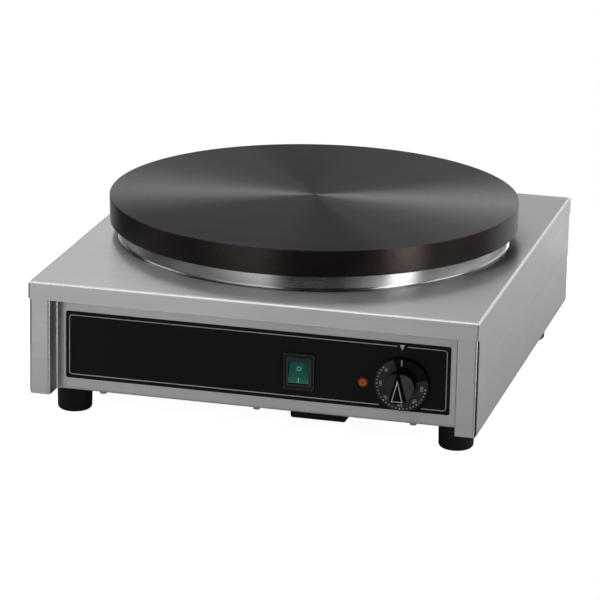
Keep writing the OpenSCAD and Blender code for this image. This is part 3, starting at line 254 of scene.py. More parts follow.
def brushed_steel(name, dark, light, rough, aniso, fine=1500.0, ring=None, relief=0.00001, slot_shade_from=None):
    """Ground stainless. ring gives the axis of a turned piece; a sheet is brushed straight.
    The highlight is drawn out across the grain, and the folds and edges are painted light as a highlight.
    Faces turned sideways are painted dark from the given distance on (mm from the middle), as shade in the
    slot beside the posts."""
    material, s, shader = finish_named(name)
    place = s.place(ring or (0, 0, 0))
    shader["Anisotropic"].default_value = aniso
    normal = s.add("ShaderNodeSeparateXYZ", {0: s.add("ShaderNodeTexCoord").outputs["Normal"]})
    if ring:
        grain = grouped(s, RING_GRAIN, {"Place": place, "Fine": fine})
        shader["Anisotropic Rotation"].default_value = 0.25
    else:
        grain = grouped(s, SHEET_GRAIN, {"Place": place, "Fine": fine, "Stretch": BRUSH_STRETCH})
        upright = s.math("LESS_THAN", s.math("ABSOLUTE", normal.outputs[2]), FACING)
        across = s.add("ShaderNodeCombineXYZ", {1: s.math("SUBTRACT", 1.0, upright), 2: upright}).outputs[0]
        s.feed(across, shader["Tangent"])
    masks = grouped(s, EDGE_MASKS, {"Place": place, "Radius": 0.0005, "Patches": 40.0})
    edge = masks["Edge"]
    if not ring:
        # a fold's normal points along none of the axes; folds join the edge mask that is painted light as a
        # highlight
        along = [s.math("ABSOLUTE", normal.outputs[i]) for i in range(3)]
        flat = s.math("MAXIMUM", s.math("MAXIMUM", along[0], along[1]), along[2])
        edge = s.math("MAXIMUM", edge, s.span(flat, 0.985, 0.90))
    marks = grouped(s, HANDLING, {"Place": place, "Patches": 9.0})
    tone = s.math("ADD", s.math("MULTIPLY", grain["Lines"], 0.65), s.math("MULTIPLY", grain["Bands"], 0.35))
    metal = s.blend(s.span(tone, 0.3, 0.7), (*dark, 1), (*light, 1))
    # painted highlight: edges and folds are lightened towards a pale tone
    bright = s.blend(s.math("MULTIPLY", edge, 0.8), metal, FOLD_HIGHLIGHT_TONE)
    # painted shade: sideways faces past the joint are darkened as shade in the slot
    if slot_shade_from:
        out = s.add("ShaderNodeSeparateXYZ", {0: place}).outputs[0]
        past = s.math("GREATER_THAN", s.math("ABSOLUTE", out), slot_shade_from * MM)
        sideways = s.span(s.math("ABSOLUTE", normal.outputs[0]), 0.35, 0.55)
        bright = s.blend(s.math("MULTIPLY", past, sideways), bright, SLOT_SHADE_TONE)
    s.feed(bright, shader["Base Color"])
    shader["Metallic"].default_value = 1.0
    roughness = s.math("ADD", s.between(grain["Lines"], rough - 0.06, rough + 0.08),
                       s.math("MULTIPLY", marks["Smear"], 0.05))
    s.feed(s.math("SUBTRACT", roughness, s.math("MULTIPLY", edge, rough * 0.65)), shader["Roughness"])
    s.feed(s.bump(grain["Lines"], 0.6, relief), shader["Normal"])
    return material


def plain_metal(name, dark, light, rough, fine=900.0):
    """Plated or cast metal with a fine even mottle and polished edges."""
    material, s, shader = finish_named(name)
    place = s.place()
    mottle = s.noise(place, fine, 4.0, 0.6)
    masks = grouped(s, EDGE_MASKS, {"Place": place, "Radius": 0.0003, "Patches": 300.0})
    base = s.blend(s.span(mottle, 0.3, 0.7), (*dark, 1), (*light, 1))
    worn = s.blend(s.math("MULTIPLY", masks["Worn"], 0.5), base, (*[min(1, c * 1.4) for c in light], 1))
    s.feed(worn, shader["Base Color"])
    shader["Metallic"].default_value = 1.0
    s.feed(s.between(mottle, rough - 0.08, rough + 0.1), shader["Roughness"])
    s.feed(s.bump(mottle, 0.3, 0.00003), shader["Normal"])
    return material


def moulded(name, dark, light, rough, fine=2200.0, relief=0.00002, specular=0.5,
            edge_wear_and_highlight=0.25, edge_highlight_tone=None, edge_width=0.0004):
    """Moulded plastic, rubber or ceramic: pebbled, a little lighter and glossier along handled edges.
    With a highlight tone, the edges are painted lighter all the way along as a highlight."""
    material, s, shader = finish_named(name)
    shader["Specular IOR Level"].default_value = specular
    place = s.place()
    pebble = grouped(s, PEBBLE, {"Place": place, "Fine": fine})["Height"]
    masks = grouped(s, EDGE_MASKS, {"Place": place, "Radius": edge_width, "Patches": 220.0})
    marks = grouped(s, HANDLING, {"Place": place, "Patches": 40.0})
    base = s.blend(marks["Smear"], (*dark, 1), (*light, 1))
    # without a highlight tone only worn patches of the edges lighten; with one the whole edge is a painted
    # highlight
    edge = masks["Edge"] if edge_highlight_tone else masks["Worn"]
    tone = edge_highlight_tone or [min(1, c * 2.2 + 0.03) for c in light]
    lifted = s.blend(s.math("MULTIPLY", edge, edge_wear_and_highlight), base, (*tone, 1))
    s.feed(lifted, shader["Base Color"])
    s.feed(s.math("SUBTRACT", s.between(pebble, rough - 0.05, rough + 0.09),
                  s.math("MULTIPLY", masks["Edge"], 0.08)), shader["Roughness"])
    s.feed(s.bump(pebble, 0.35, relief), shader["Normal"])
    return material


def seasoned_iron():
    """Turned and seasoned cast iron: fine rings on the face, brown-black skin on the rim."""
    material, s, shader = finish_named("turned seasoned iron")
    place = s.place((0, PLATE_BACK, 0))
    rings = grouped(s, RING_GRAIN, {"Place": place, "Fine": 700.0})
    masks = grouped(s, EDGE_MASKS, {"Place": place, "Radius": 0.0008, "Patches": 30.0})
    marks = grouped(s, HANDLING, {"Place": place, "Patches": 12.0})
    casting = s.noise(place, 420.0, 5.0, 0.65)
    up = s.add("ShaderNodeSeparateXYZ", {0: s.add("ShaderNodeTexCoord").outputs["Normal"]}).outputs[2]
    face = s.math("GREATER_THAN", up, 0.8)
    tone = s.math("ADD", s.math("MULTIPLY", rings["Lines"], 0.5), s.math("MULTIPLY", rings["Bands"], 0.5))
    top = s.blend(s.span(tone, 0.3, 0.7), (0.030, 0.0275, 0.030, 1), (0.041, 0.0375, 0.0415, 1))
    rim = s.blend(s.span(casting, 0.35, 0.7), (0.036, 0.027, 0.024, 1), (0.053, 0.0405, 0.0365, 1))
    skin = s.blend(face, rim, top)
    smeared = s.blend(s.math("MULTIPLY", marks["Smear"], 0.25), skin, (0.042, 0.032, 0.030, 1))
    worn = s.blend(s.math("MULTIPLY", masks["Edge"], 0.35), smeared, (0.16, 0.14, 0.135, 1))
    s.feed(worn, shader["Base Color"])
    shader["Metallic"].default_value = 0.9
    rough = s.add("ShaderNodeMix", {
        0: face, 2: s.between(casting, 0.32, 0.48), 3: s.between(rings["Lines"], 0.40, 0.52)}).outputs[0]
    s.feed(rough, shader["Roughness"])
    shader["Anisotropic"].default_value = 0.96
    shader["Anisotropic Rotation"].default_value = 0.25
    height = s.add("ShaderNodeMix", {
        0: face, 2: s.math("MULTIPLY", casting, 1.6), 3: rings["Lines"]}).outputs[0]
    s.feed(s.bump(height, 0.5, 0.00003), shader["Normal"])
    return material


def label_film():
    """Printed black polyester film, satin with a very fine tooth."""
    material, s, shader = finish_named("black label film")
    place = s.place()
    tooth = grouped(s, PEBBLE, {"Place": place, "Fine": 3200.0})["Height"]
    marks = grouped(s, HANDLING, {"Place": place, "Patches": 10.0})
    masks = grouped(s, EDGE_MASKS, {"Place": place, "Radius": 0.0003, "Patches": 80.0})
    shader["Specular IOR Level"].default_value = 0.14
    base = s.blend(marks["Smear"], (0.0055, 0.0055, 0.006, 1), (0.0075, 0.0075, 0.008, 1))
    worn = s.blend(s.math("MULTIPLY", masks["Edge"], 0.3), base, (0.05, 0.05, 0.05, 1))
    s.feed(worn, shader["Base Color"])
    s.feed(s.between(tooth, 0.42, 0.55), shader["Roughness"])
    s.feed(s.bump(tooth, 0.2, 0.00001), shader["Normal"])
    return material


def printed(name, dark, light):
    """Screen-printed ink with a faint mottle."""
    material, s, shader = finish_named(name)
    place = s.place()
    ink = s.noise(place, 1800.0, 3.0, 0.6)
    s.feed(s.blend(s.span(ink, 0.35, 0.65), (*dark, 1), (*light, 1)), shader["Base Color"])
    s.feed(s.between(ink, 0.42, 0.6), shader["Roughness"])
    s.feed(s.bump(ink, 0.2, 0.00002), shader["Normal"])
    return material


def dial_plastic():
    """Black moulding of the knob: dark grey scale zone and scoops, blacker and glossier off zone and pointer,
    and walls painted black and glossy as shade."""
    material, s, shader = finish_named("knob plastic")
    # local y is up and local z is depth behind the control face
    place = s.place((KNOB_X, FACE_Y, KNOB_Z), (-math.pi / 2, 0, 0))
    where = s.add("ShaderNodeSeparateXYZ", {0: place})
    flat = s.add("ShaderNodeCombineXYZ", {0: where.outputs[0], 1: where.outputs[1]}).outputs[0]
    reach = s.add("ShaderNodeVectorMath", {0: flat}, operation="LENGTH").outputs["Value"]
    # angle from the middle of the off zone
    turn = math.radians(OFF_MIDDLE)
    toward = (math.sin(turn), math.cos(turn), 0)
    ahead = s.add("ShaderNodeVectorMath", {0: flat, 1: toward}, operation="DOT_PRODUCT").outputs["Value"]
    off = s.math("GREATER_THAN", s.math("DIVIDE", ahead, reach), math.cos(math.radians(OFF_HALF)))
    grip = s.math("LESS_THAN", reach, SCALE_IN * MM)
    off = s.math("MULTIPLY", off, s.math("SUBTRACT", 1.0, grip))
    # walls turn away from the front and are painted black as shade, and the pointer's face stands proudest
    normal = s.add("ShaderNodeSeparateXYZ", {0: s.add("ShaderNodeTexCoord").outputs["Normal"]}).outputs[1]
    wall = s.math("GREATER_THAN", normal, -0.55)
    here = s.add("ShaderNodeSeparateXYZ", {0: s.add("ShaderNodeTexCoord").outputs["Object"]}).outputs[1]
    proud = s.math("MULTIPLY", s.math("SUBTRACT", FACE_Y * MM, here), 1 / MM)
    pointer = s.math("GREATER_THAN", proud, GRIP_FACE - 0.1)
    black_and_wall_shade = s.math("MAXIMUM", s.math("MAXIMUM", off, wall), pointer)
    pebble = grouped(s, PEBBLE, {"Place": place, "Fine": 2600.0})["Height"]
    masks = grouped(s, EDGE_MASKS, {"Place": place, "Radius": 0.0003, "Patches": 260.0})
    marks = grouped(s, HANDLING, {"Place": place, "Patches": 60.0})
    shader["Specular IOR Level"].default_value = 0.1
    zone = s.blend(marks["Smear"], (0.040, 0.040, 0.043, 1), (0.052, 0.052, 0.056, 1))
    base = s.blend(black_and_wall_shade, zone, (0.0012, 0.0012, 0.0014, 1))
    worn = s.blend(s.math("MULTIPLY", masks["Worn"], 0.25), base, (0.07, 0.07, 0.075, 1))
    s.feed(worn, shader["Base Color"])
    rough = s.between(black_and_wall_shade, 0.5, 0.3)
    s.feed(s.math("ADD", rough, s.math("MULTIPLY", pebble, 0.08)), shader["Roughness"])
    s.feed(s.bump(pebble, 0.3, 0.00002), shader["Normal"])
    return material


def tinted_rocker():
    """Clear green plastic over a ribbed inside, with painted shadow across the top where it goes under the
    frame and a painted lighter lower half.
    """
    material, s, shader = finish_named("tinted green plastic")
    place = s.place((SWITCH_X, 0, SWITCH_Z))
    where = s.add("ShaderNodeSeparateXYZ", {0: place})
    drawn_up = s.add("ShaderNodeVectorMath", {0: place, 1: (1.0, 1.0, 0.16)}, operation="MULTIPLY")
    ribs = s.noise(drawn_up.outputs[0], 620.0, 3.0, 0.6)
    # painted shadow: the top of the rocker, under the frame's upper edge, is darkened
    depth = s.span(where.outputs[2], 0.011, 0.0075)
    # painted light: the lower half, tilted up towards the light, is made lighter
    low = s.span(where.outputs[2], -0.004, -0.010)
    tint = s.blend(s.span(ribs, 0.3, 0.7), (0.0, 0.075, 0.06, 1), (0.004, 0.15, 0.12, 1))
    lower = s.blend(s.math("MULTIPLY", low, 0.6), tint, (0.035, 0.21, 0.17, 1))
    s.feed(s.blend(depth, (0.0, 0.03, 0.025, 1), lower), shader["Base Color"])
    s.feed(s.between(ribs, 0.3, 0.45), shader["Roughness"])
    shader["Specular IOR Level"].default_value = 0.2
    shader["Coat Weight"].default_value = 0.06
    shader["Coat Roughness"].default_value = 0.12
    s.feed(s.bump(ribs, 0.25, 0.00006), shader["Normal"])
    return material


def tinted_lens():
    """Orange lens: lit ring, darker at its centre and its rim, with painted shade over its top."""
    material, s, shader = finish_named("tinted orange plastic")
    place = s.place((LAMP_X, 0, LAMP_Z), (-math.pi / 2, 0, 0))
    rings = grouped(s, RING_GRAIN, {"Place": place, "Fine": 900.0})
    reach = rings["Reach"]
    core = s.span(reach, 0.0004, 0.0018)
    rim = s.span(reach, 0.0030, 0.0046)
    # painted shade: the upper part of the lens is darkened
    up = s.span(s.add("ShaderNodeSeparateXYZ", {0: place}).outputs[1], 0.0, 0.0042)
    ring = s.blend(core, (0.20, 0.026, 0.004, 1), (0.72, 0.17, 0.025, 1))
    shaded = s.blend(s.math("MULTIPLY", up, 0.8), ring, (0.16, 0.018, 0.003, 1))
    colour = s.blend(rim, shaded, (0.08, 0.009, 0.003, 1))
    s.feed(colour, shader["Base Color"])
    s.feed(s.between(rings["Lines"], 0.3, 0.42), shader["Roughness"])
    shader["Specular IOR Level"].default_value = 0.25
    shader["Coat Weight"].default_value = 0.08
    shader["Coat Roughness"].default_value = 0.1
    s.feed(s.bump(rings["Bands"], 0.3, 0.0002), shader["Normal"])
    return material


def fibre():
    """Ceramic fibre blanket."""
    material, s, shader = finish_named("ceramic fibre")
    place = s.place()
    strands = s.noise(place, 180.0, 6.0, 0.75, 1.5)
    s.feed(s.blend(strands, (0.62, 0.58, 0.5, 1), (0.86, 0.84, 0.78, 1)), shader["Base Color"])
    s.feed(s.between(strands, 0.85, 1.0), shader["Roughness"])
    s.feed(s.bump(strands, 0.8, 0.001), shader["Normal"])
    return material


STEEL_COVER = brushed_steel("brushed cover steel", (0.465, 0.465, 0.47), (0.54, 0.54, 0.542), 0.32, 1.0)
STEEL_PANEL = brushed_steel("brushed panel steel", (0.49, 0.49, 0.493), (0.57, 0.57, 0.572), 0.36, 0.9,
                            slot_shade_from=SEAM_X)
STEEL_COLLAR = brushed_steel("spun collar steel", (0.50, 0.50, 0.50), (0.60, 0.60, 0.60), 0.22, 0.95,
                             fine=900.0, ring=(0, PLATE_BACK, 0), relief=0.000005)
GALVANISED = plain_metal("galvanised sheet", (0.42, 0.43, 0.44), (0.58, 0.59, 0.6), 0.42, fine=90.0)
ZINC = plain_metal("zinc-plated screws", (0.5, 0.5, 0.49), (0.68, 0.68, 0.66), 0.28)
BRASS = plain_metal("brass", (0.55, 0.38, 0.14), (0.72, 0.53, 0.22), 0.3)
COPPER = plain_metal("drawn copper", (0.5, 0.22, 0.12), (0.68, 0.34, 0.2), 0.35)
SHEATH = plain_metal("element sheath", (0.12, 0.11, 0.10), (0.2, 0.19, 0.17), 0.5)
IRON = seasoned_iron()
FILM = label_film()
PRINT = printed("white print", (0.55, 0.55, 0.56), (0.78, 0.78, 0.79))
BORDER_PRINT = printed("border print", (0.48, 0.48, 0.49), (0.62, 0.62, 0.63))
DIAL_PRINT = printed("dial print", (0.46, 0.51, 0.58), (0.64, 0.69, 0.76))
ROCKER_PRINT = printed("rocker print", (0.36, 0.62, 0.56), (0.5, 0.75, 0.68))
# the switch's edges are painted light all along as a highlight
SWITCH_BLACK = moulded("switch plastic", (0.007, 0.007, 0.0075), (0.012, 0.012, 0.0125), 0.4, specular=0.2,
                       edge_wear_and_highlight=0.9, edge_highlight_tone=(0.15, 0.15, 0.155), edge_width=0.0011)
RUBBER = moulded("foot rubber", (0.0065, 0.0065, 0.007), (0.011, 0.011, 0.0115), 0.42,
                 fine=1100.0, relief=0.00004, specular=0.16)
GUARD_BLACK = moulded("guard plastic", (0.003, 0.003, 0.0035), (0.006, 0.006, 0.0065), 0.5, specular=0.2)
NYLON = moulded("gland nylon", (0.012, 0.012, 0.013), (0.022, 0.022, 0.023), 0.42)
CERAMIC = moulded("ceramic", (0.62, 0.6, 0.54), (0.78, 0.76, 0.7), 0.55, fine=700.0)
LAMP_CASE = moulded("lamp case", (0.6, 0.6, 0.57), (0.75, 0.75, 0.72), 0.4)
RESET_RED = moulded("reset button", (0.35, 0.012, 0.01), (0.5, 0.03, 0.02), 0.3)
DIAL_BLACK = dial_plastic()
ROCKER_GREEN = tinted_rocker()
LENS_ORANGE = tinted_lens()
FIBRE = fibre()
LIVE = moulded("brown insulation", (0.09, 0.035, 0.014), (0.14, 0.06, 0.025), 0.45)
NEUTRAL = moulded("blue insulation", (0.012, 0.05, 0.25), (0.02, 0.08, 0.36), 0.45)
EARTH = moulded("green insulation", (0.03, 0.2, 0.03), (0.06, 0.3, 0.05), 0.45)

FINISHES = {
    STEEL_COVER: ["top_cover"],
    STEEL_PANEL: ["front_panel", "rear_panel"],
    STEEL_COLLAR: ["collar_ring"],
    GALVANISED: ["base_plate", "element_clamp", "insulation_pan"],
    ZINC: ["casing_screws", "collar_screws", "foot_screws", "foot_nuts", "griddle_studs", "clamp_nuts",
           "pan_nuts", "thermostat_screws", "thermostat_shaft", "guard_screws", "gland_locknut"],
    BRASS: ["switch_terminals", "thermostat_terminals", "limit_terminals", "terminal_screws", "earth_stud"],
    COPPER: ["thermostat_bulb", "thermostat_capillary", "limit_bulb", "limit_capillary"],
    SHEATH: ["inner_element", "outer_element"],
    IRON: ["griddle_plate"],
    FILM: ["control_label"],
    DIAL_BLACK: ["knob"],
    SWITCH_BLACK: ["switch_housing", "pilot_lamp_nut"],
    RUBBER: ["foot_front_left", "foot_front_right", "foot_rear_left", "foot_rear_right", "gland_seal"],
    GUARD_BLACK: ["reset_guard"],
    NYLON: ["gland_body", "gland_nut"],
    CERAMIC: ["thermostat_body", "limit_thermostat", "terminal_block"],
    LAMP_CASE: ["pilot_lamp_body"],
    RESET_RED: ["reset_button"],
    ROCKER_GREEN: ["switch_rocker"],
    LENS_ORANGE: ["pilot_lamp_lens"],
    FIBRE: ["insulation_blanket"],
    LIVE: ["live_wires"],
    NEUTRAL: ["neutral_wires"],
    EARTH: ["earth_wire"],
}
for finish, names in FINISHES.items():
    for node_name in names:
        mesh = NODES[node_name].data
        mesh.materials.clear()
        mesh.materials.append(finish)


# ---- Making pieces ----

def piece(name, bm, material, body, replaces=(), smooth=0):
    """Mesh object at the origin, in metres, that rides on a body. Edges under the smooth angle shade round."""
    bmesh.ops.recalc_face_normals(bm, faces=bm.faces)
    mesh = bpy.data.meshes.new(name)
    bm.to_mesh(mesh)
    bm.free()
    mesh.materials.append(material)
    for polygon in mesh.polygons:
        polygon.use_smooth = smooth > 0
    if smooth > 0:
        mesh.set_sharp_from_angle(angle=math.radians(smooth))
    made = bpy.data.objects.new(name, mesh)
    bpy.context.scene.collection.objects.link(made)
    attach(made, body)
    if replaces:
        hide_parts(*replaces)
    return made


TURN_STEPS = 288
TURN_SMOOTH = 60


def turned(points):
    """Full spin round the plate's axis of an outline given as radius and height in millimetres."""
    bm = bmesh.new()
    verts = [bm.verts.new((r, 0, z)) for r, z in points]
    edges = [bm.edges.new(pair) for pair in zip(verts, verts[1:])]
    bmesh.ops.spin(bm, geom=verts + edges, cent=(0, 0, 0), axis=(0, 0, 1), dvec=(0, 0, 0),
                   angle=math.tau, steps=TURN_STEPS, use_merge=True, use_duplicate=False)
    bmesh.ops.remove_doubles(bm, verts=bm.verts, dist=0.0001)
    axis = Matrix.Translation((0, PLATE_BACK * MM, 0)) @ Matrix.Scale(MM, 4)
    bmesh.ops.transform(bm, matrix=axis, verts=bm.verts)
    return bm


def rounded_path(points, radii, steps):
    """Outline with its corners rounded, each in so many steps."""
    path = []
    for i, (point, radius) in enumerate(zip(points, radii)):
        here = Vector(point)
        if not radius or i in (0, len(points) - 1):
            path.append(here)
            continue
        back = (Vector(points[i - 1]) - here).normalized()
        ahead = (Vector(points[i + 1]) - here).normalized()
        half = back.angle(ahead) / 2
        reach = radius / math.tan(half)
        middle = here + (back + ahead).normalized() * (radius / math.sin(half))
        start, stop = here + back * reach - middle, here + ahead * reach - middle
        for k in range(steps + 1):
            path.append(middle + start.slerp(stop, k / steps))
    return [tuple(p) for p in path]


def plate_of(bm, faces, height):
    """Turns flat faces into a thin solid that rises along Z."""
    grown = bmesh.ops.extrude_face_region(bm, geom=faces)
    risen = [part for part in grown["geom"] if isinstance(part, bmesh.types.BMVert)]
    bmesh.ops.translate(bm, vec=(0, 0, height), verts=risen)


def join(bm, other):
    """Adds another bmesh to this one."""
    spare = bpy.data.meshes.new("spare")
    other.to_mesh(spare)
    other.free()
    bm.from_mesh(spare)
    bpy.data.meshes.remove(spare)


INK = 0.06  # how far print stands over what carries it


def ink_polygon(points):
    bm = bmesh.new()
    verts = [bm.verts.new((x, y, 0)) for x, y in points]
    plate_of(bm, [bm.faces.new(verts)], INK)
    return bm


def ink_disc(x, y, r):
    bm = bmesh.new()
    bmesh.ops.create_circle(bm, cap_ends=True, radius=r, segments=14, matrix=Matrix.Translation((x, y, 0)))
    plate_of(bm, list(bm.faces), INK)
    return bm


def ink_text(words, size, widen, matrix):
    """Plain figures as a thin solid, centred, in the local frame."""
    curve = bpy.data.curves.new("figures", "FONT")
    curve.body, curve.size, curve.extrude = words, size, INK / 2
    curve.align_x, curve.align_y = "CENTER", "CENTER"
    curve.resolution_u = 3
    made = bpy.data.objects.new("figures", curve)
    bpy.context.scene.collection.objects.link(made)
    bpy.context.view_layer.update()
    mesh = bpy.data.meshes.new_from_object(made.evaluated_get(bpy.context.evaluated_depsgraph_get()))
    bpy.data.objects.remove(made)
    bpy.data.curves.remove(curve)
    bm = bmesh.new()
    bm.from_mesh(mesh)
    bpy.data.meshes.remove(mesh)
    bmesh.ops.remove_doubles(bm, verts=bm.verts, dist=0.0001)
    lift = Matrix.Translation((0, 0, INK / 2)) @ Matrix.Diagonal((widen, 1, 1, 1))
    bmesh.ops.transform(bm, matrix=matrix @ lift, verts=bm.verts)
    return bm


def gathered(parts, matrix):
    bm = bmesh.new()
    for part in parts:
        join(bm, part)
    bmesh.ops.transform(bm, matrix=matrix, verts=bm.verts)
    return bm


def on_circle(r, degrees):
    """Point at an angle clockwise from the top."""
    turn = math.radians(degrees)
    return r * math.sin(turn), r * math.cos(turn)


# ---- Plate and collar ----

def cooking_plate():
    """Disc with a down-turned skirt."""
    corners = [(0, PLATE_TOP), (PLATE_R, PLATE_TOP), (PLATE_R, SKIRT_LOW), (SKIRT_IN, SKIRT_LOW),
               (SKIRT_IN, PLATE_UNDER), (0, PLATE_UNDER)]
    bm = turned(rounded_path(corners, [0, 1.0, 1.5, 0.8, 3.0, 0], 5))
    piece("cooking_plate", bm, IRON, "casing", ["griddle_plate"], TURN_SMOOTH)


def spun_collar():
    """Ring of thin sheet: foot on the cover, flared root, upright wall and a flange under the plate."""
    wall_in = COLLAR_R - COLLAR_SHEET
    foot_top, flange_low = COVER_TOP + COLLAR_SHEET, COLLAR_TOP - COLLAR_SHEET
    turn_x, turn_z = COLLAR_R + COLLAR_FLARE, COVER_TOP + COLLAR_FLARE
    turns = [math.radians(degrees) for degrees in range(270, 179, -10)]
    flare = [(turn_x + COLLAR_FLARE * math.cos(t), turn_z + COLLAR_FLARE * math.sin(t)) for t in turns]
    corners = [(COLLAR_R, turn_z), (COLLAR_R, COLLAR_TOP), (COLLAR_FLANGE_IN, COLLAR_TOP),
               (COLLAR_FLANGE_IN, flange_low), (wall_in, flange_low), (wall_in, foot_top),
               (COLLAR_FOOT_IN, foot_top), (COLLAR_FOOT_IN, COVER_TOP)]
    path = [(COLLAR_FOOT_IN, COVER_TOP), (COLLAR_FOOT_OUT, COVER_TOP)] + flare
    path += rounded_path(corners, [0, 1.2, 0.3, 0.3, 0.6, 1.5, 0, 0], 4)[1:]
    piece("spun_collar", turned(path), STEEL_COLLAR, "casing", ["collar_ring"], TURN_SMOOTH)


cooking_plate()
spun_collar()


# ---- Label print ----

def label_border():
    """Thin line round the label, open at the marker and beside the dial."""
    half_w, low, high, corner, width = 181.8, 43.5, 102.3, 3.2, 0.75
    marker_x = KNOB_X - 0.9
    # start and end of each opening, and the run it lies in: upper 1, lower -1
    gaps = ((KNOB_X - 5.6, KNOB_X + 4.0, 1), (KNOB_X - 21.5, KNOB_X + 18.5, -1))
    bm = bmesh.new()
    bmesh.ops.create_grid(bm, x_segments=1, y_segments=1, size=1.0)
    bmesh.ops.scale(bm, vec=(half_w, (high - low) / 2, 1), verts=bm.verts)
    bmesh.ops.bevel(bm, geom=bm.verts[:], offset=corner, segments=7, profile=0.5, affect="VERTICES",
                    material=-1)
    middle = bm.faces[:]
    bmesh.ops.inset_region(bm, faces=middle, thickness=width, use_boundary=True, use_even_offset=True)
    bmesh.ops.delete(bm, geom=middle, context="FACES")
    for start, stop, _ in gaps:
        for x in (start, stop):
            bmesh.ops.bisect_plane(bm, geom=bm.verts[:] + bm.edges[:] + bm.faces[:], plane_co=(x, 0, 0),
                                   plane_no=(1, 0, 0))
    cut = []
    for face in bm.faces:
        middle = face.calc_center_median()
        if any(start < middle.x < stop and middle.y * side > 0 for start, stop, side in gaps):
            cut.append(face)
    bmesh.ops.delete(bm, geom=cut, context="FACES")
    plate_of(bm, bm.faces[:], INK)
    bmesh.ops.transform(bm, matrix=front(0, (low + high) / 2, LABEL_T), verts=bm.verts)
    piece("label_border", bm, BORDER_PRINT, "casing")
    marker = ink_polygon([(-2.4, 1.2), (2.4, 1.2), (0, -4.2)])
    bmesh.ops.transform(marker, matrix=front(marker_x, high, LABEL_T), verts=marker.verts)
    piece("label_marker", marker, PRINT, "casing")


label_border()


# ---- Knob print ----

def dial_print():
    """Dots, figures and index line of the thermostat dial."""
    step, first = 8.64, -47.7  # degrees for ten units, and where the scale starts
    dot_ring, figure_ring, figure_size, figure_width = 23.0, 19.3, 3.8, 0.92
    index_low, index_high, index_half = 18.5, 24.2, 0.4
    parts = []
    for i in range(26):
        parts.append(ink_disc(*on_circle(dot_ring, first - step * i), 0.54 if i % 5 else 0.74))
    for i, words in enumerate(("50", "100", "150", "200", "250", "300")):
        angle = first - 5 * step * i
        place = Matrix.Translation((*on_circle(figure_ring, angle), 0))
        turn = Matrix.Rotation(math.radians(-angle), 4, "Z")
        parts.append(ink_text(words, figure_size, figure_width, place @ turn))
    scale = gathered(parts, front(KNOB_X, KNOB_Z, ZONE_FACE))
    piece("dial_figures", scale, DIAL_PRINT, "dial")
    line = ink_polygon([(-index_half, index_low), (index_half, index_low),
                        (index_half, index_high), (-index_half, index_high)])
    piece("dial_index", gathered([line], front(KNOB_X, KNOB_Z, OFF_FACE)), PRINT, "dial")


def pointer_print():
    """White outlined triangle on the face of the grip."""
    tip, foot, half, width = 9.6, -11.4, 5.3, 0.6
    bm = bmesh.new()
    bmesh.ops.create_circle(bm, cap_ends=True, radius=1.0, segments=3)
    for vert, place in zip(bm.verts, ((0, tip), (-half, foot), (half, foot))):
        vert.co = (*place, 0)
    middle = bm.faces[:]
    bmesh.ops.inset_region(bm, faces=middle, thickness=width, use_boundary=True, use_even_offset=True)
    bmesh.ops.delete(bm, geom=middle, context="FACES")
    plate_of(bm, bm.faces[:], INK)
    piece("pointer_outline", gathered([bm], front(KNOB_X, KNOB_Z, GRIP_FACE)), PRINT, "dial")


dial_print()
pointer_print()


# ---- Rocker print ----

def settle(bm, node, matrix):
    """Lays print on a node: every point drops along the local depth until it meets the node's face.
    The print's lower face ends a little below the node's, so that no gap shows."""
    above = 0.05  # metres from which the points drop
    shape = bmesh.new()
    shape.from_mesh(NODES[node].data)
    tree = BVHTree.FromBMesh(shape)
    shape.free()
    outward = (matrix.to_3x3() @ Vector((0, 0, 1))).normalized()
    for vert in bm.verts:
        start = matrix @ Vector((vert.co.x, vert.co.y, 0)) + outward * above
        hit = tree.ray_cast(start, -outward)[0]
        vert.co = hit + outward * (vert.co.z - INK / 6) * MM


def rocker_print():
    """O on the upper half and I on the lower half."""
    ring_r, ring_width, ring_up = 2.1, 0.55, 2.9
    bar_half_w, bar_half_h, bar_up = 0.38, 2.3, -7.6
    ring = bmesh.new()
    bmesh.ops.create_circle(ring, cap_ends=True, radius=ring_r, segments=32)
    middle = ring.faces[:]
    bmesh.ops.inset_region(ring, faces=middle, thickness=ring_width, use_boundary=True)
    bmesh.ops.delete(ring, geom=middle, context="FACES")
    plate_of(ring, ring.faces[:], INK)
    bar = bmesh.new()
    bmesh.ops.create_grid(bar, x_segments=2, y_segments=12, size=1.0)
    bmesh.ops.scale(bar, vec=(bar_half_w, bar_half_h, 1), verts=bar.verts)
    plate_of(bar, bar.faces[:], INK)
    for name, mark, up in (("rocker_ring_mark", ring, ring_up), ("rocker_bar_mark", bar, bar_up)):
        settle(mark, "switch_rocker", front(SWITCH_X, SWITCH_Z + up))
        piece(name, mark, ROCKER_PRINT, "rocker")


rocker_print()


# ---- Studio ----

def table():
    """Small round table top, plain white to the camera."""
    radius, glow = 0.52, 0.95
    floor_bm = bmesh.new()
    bmesh.ops.create_circle(floor_bm, cap_ends=True, radius=radius, segments=96)
    mesh = bpy.data.meshes.new("studio_floor")
    floor_bm.to_mesh(mesh)
    floor_bm.free()
    material, s, shader = finish_named("pale floor")
    haze = s.noise(s.place(), 0.8, 2.0)
    s.feed(s.blend(haze, (0.60, 0.60, 0.60, 1), (0.64, 0.64, 0.64, 1)), shader["Base Color"])
    shader["Roughness"].default_value = 0.8
    shader["Emission Color"].default_value = (1, 1, 1, 1)
    seen = s.add("ShaderNodeLightPath").outputs["Is Camera Ray"]
    s.feed(s.math("MULTIPLY", seen, glow), shader["Emission Strength"])
    mesh.materials.append(material)
    floor = bpy.data.objects.new("studio_floor", mesh)
    bpy.context.scene.collection.objects.link(floor)


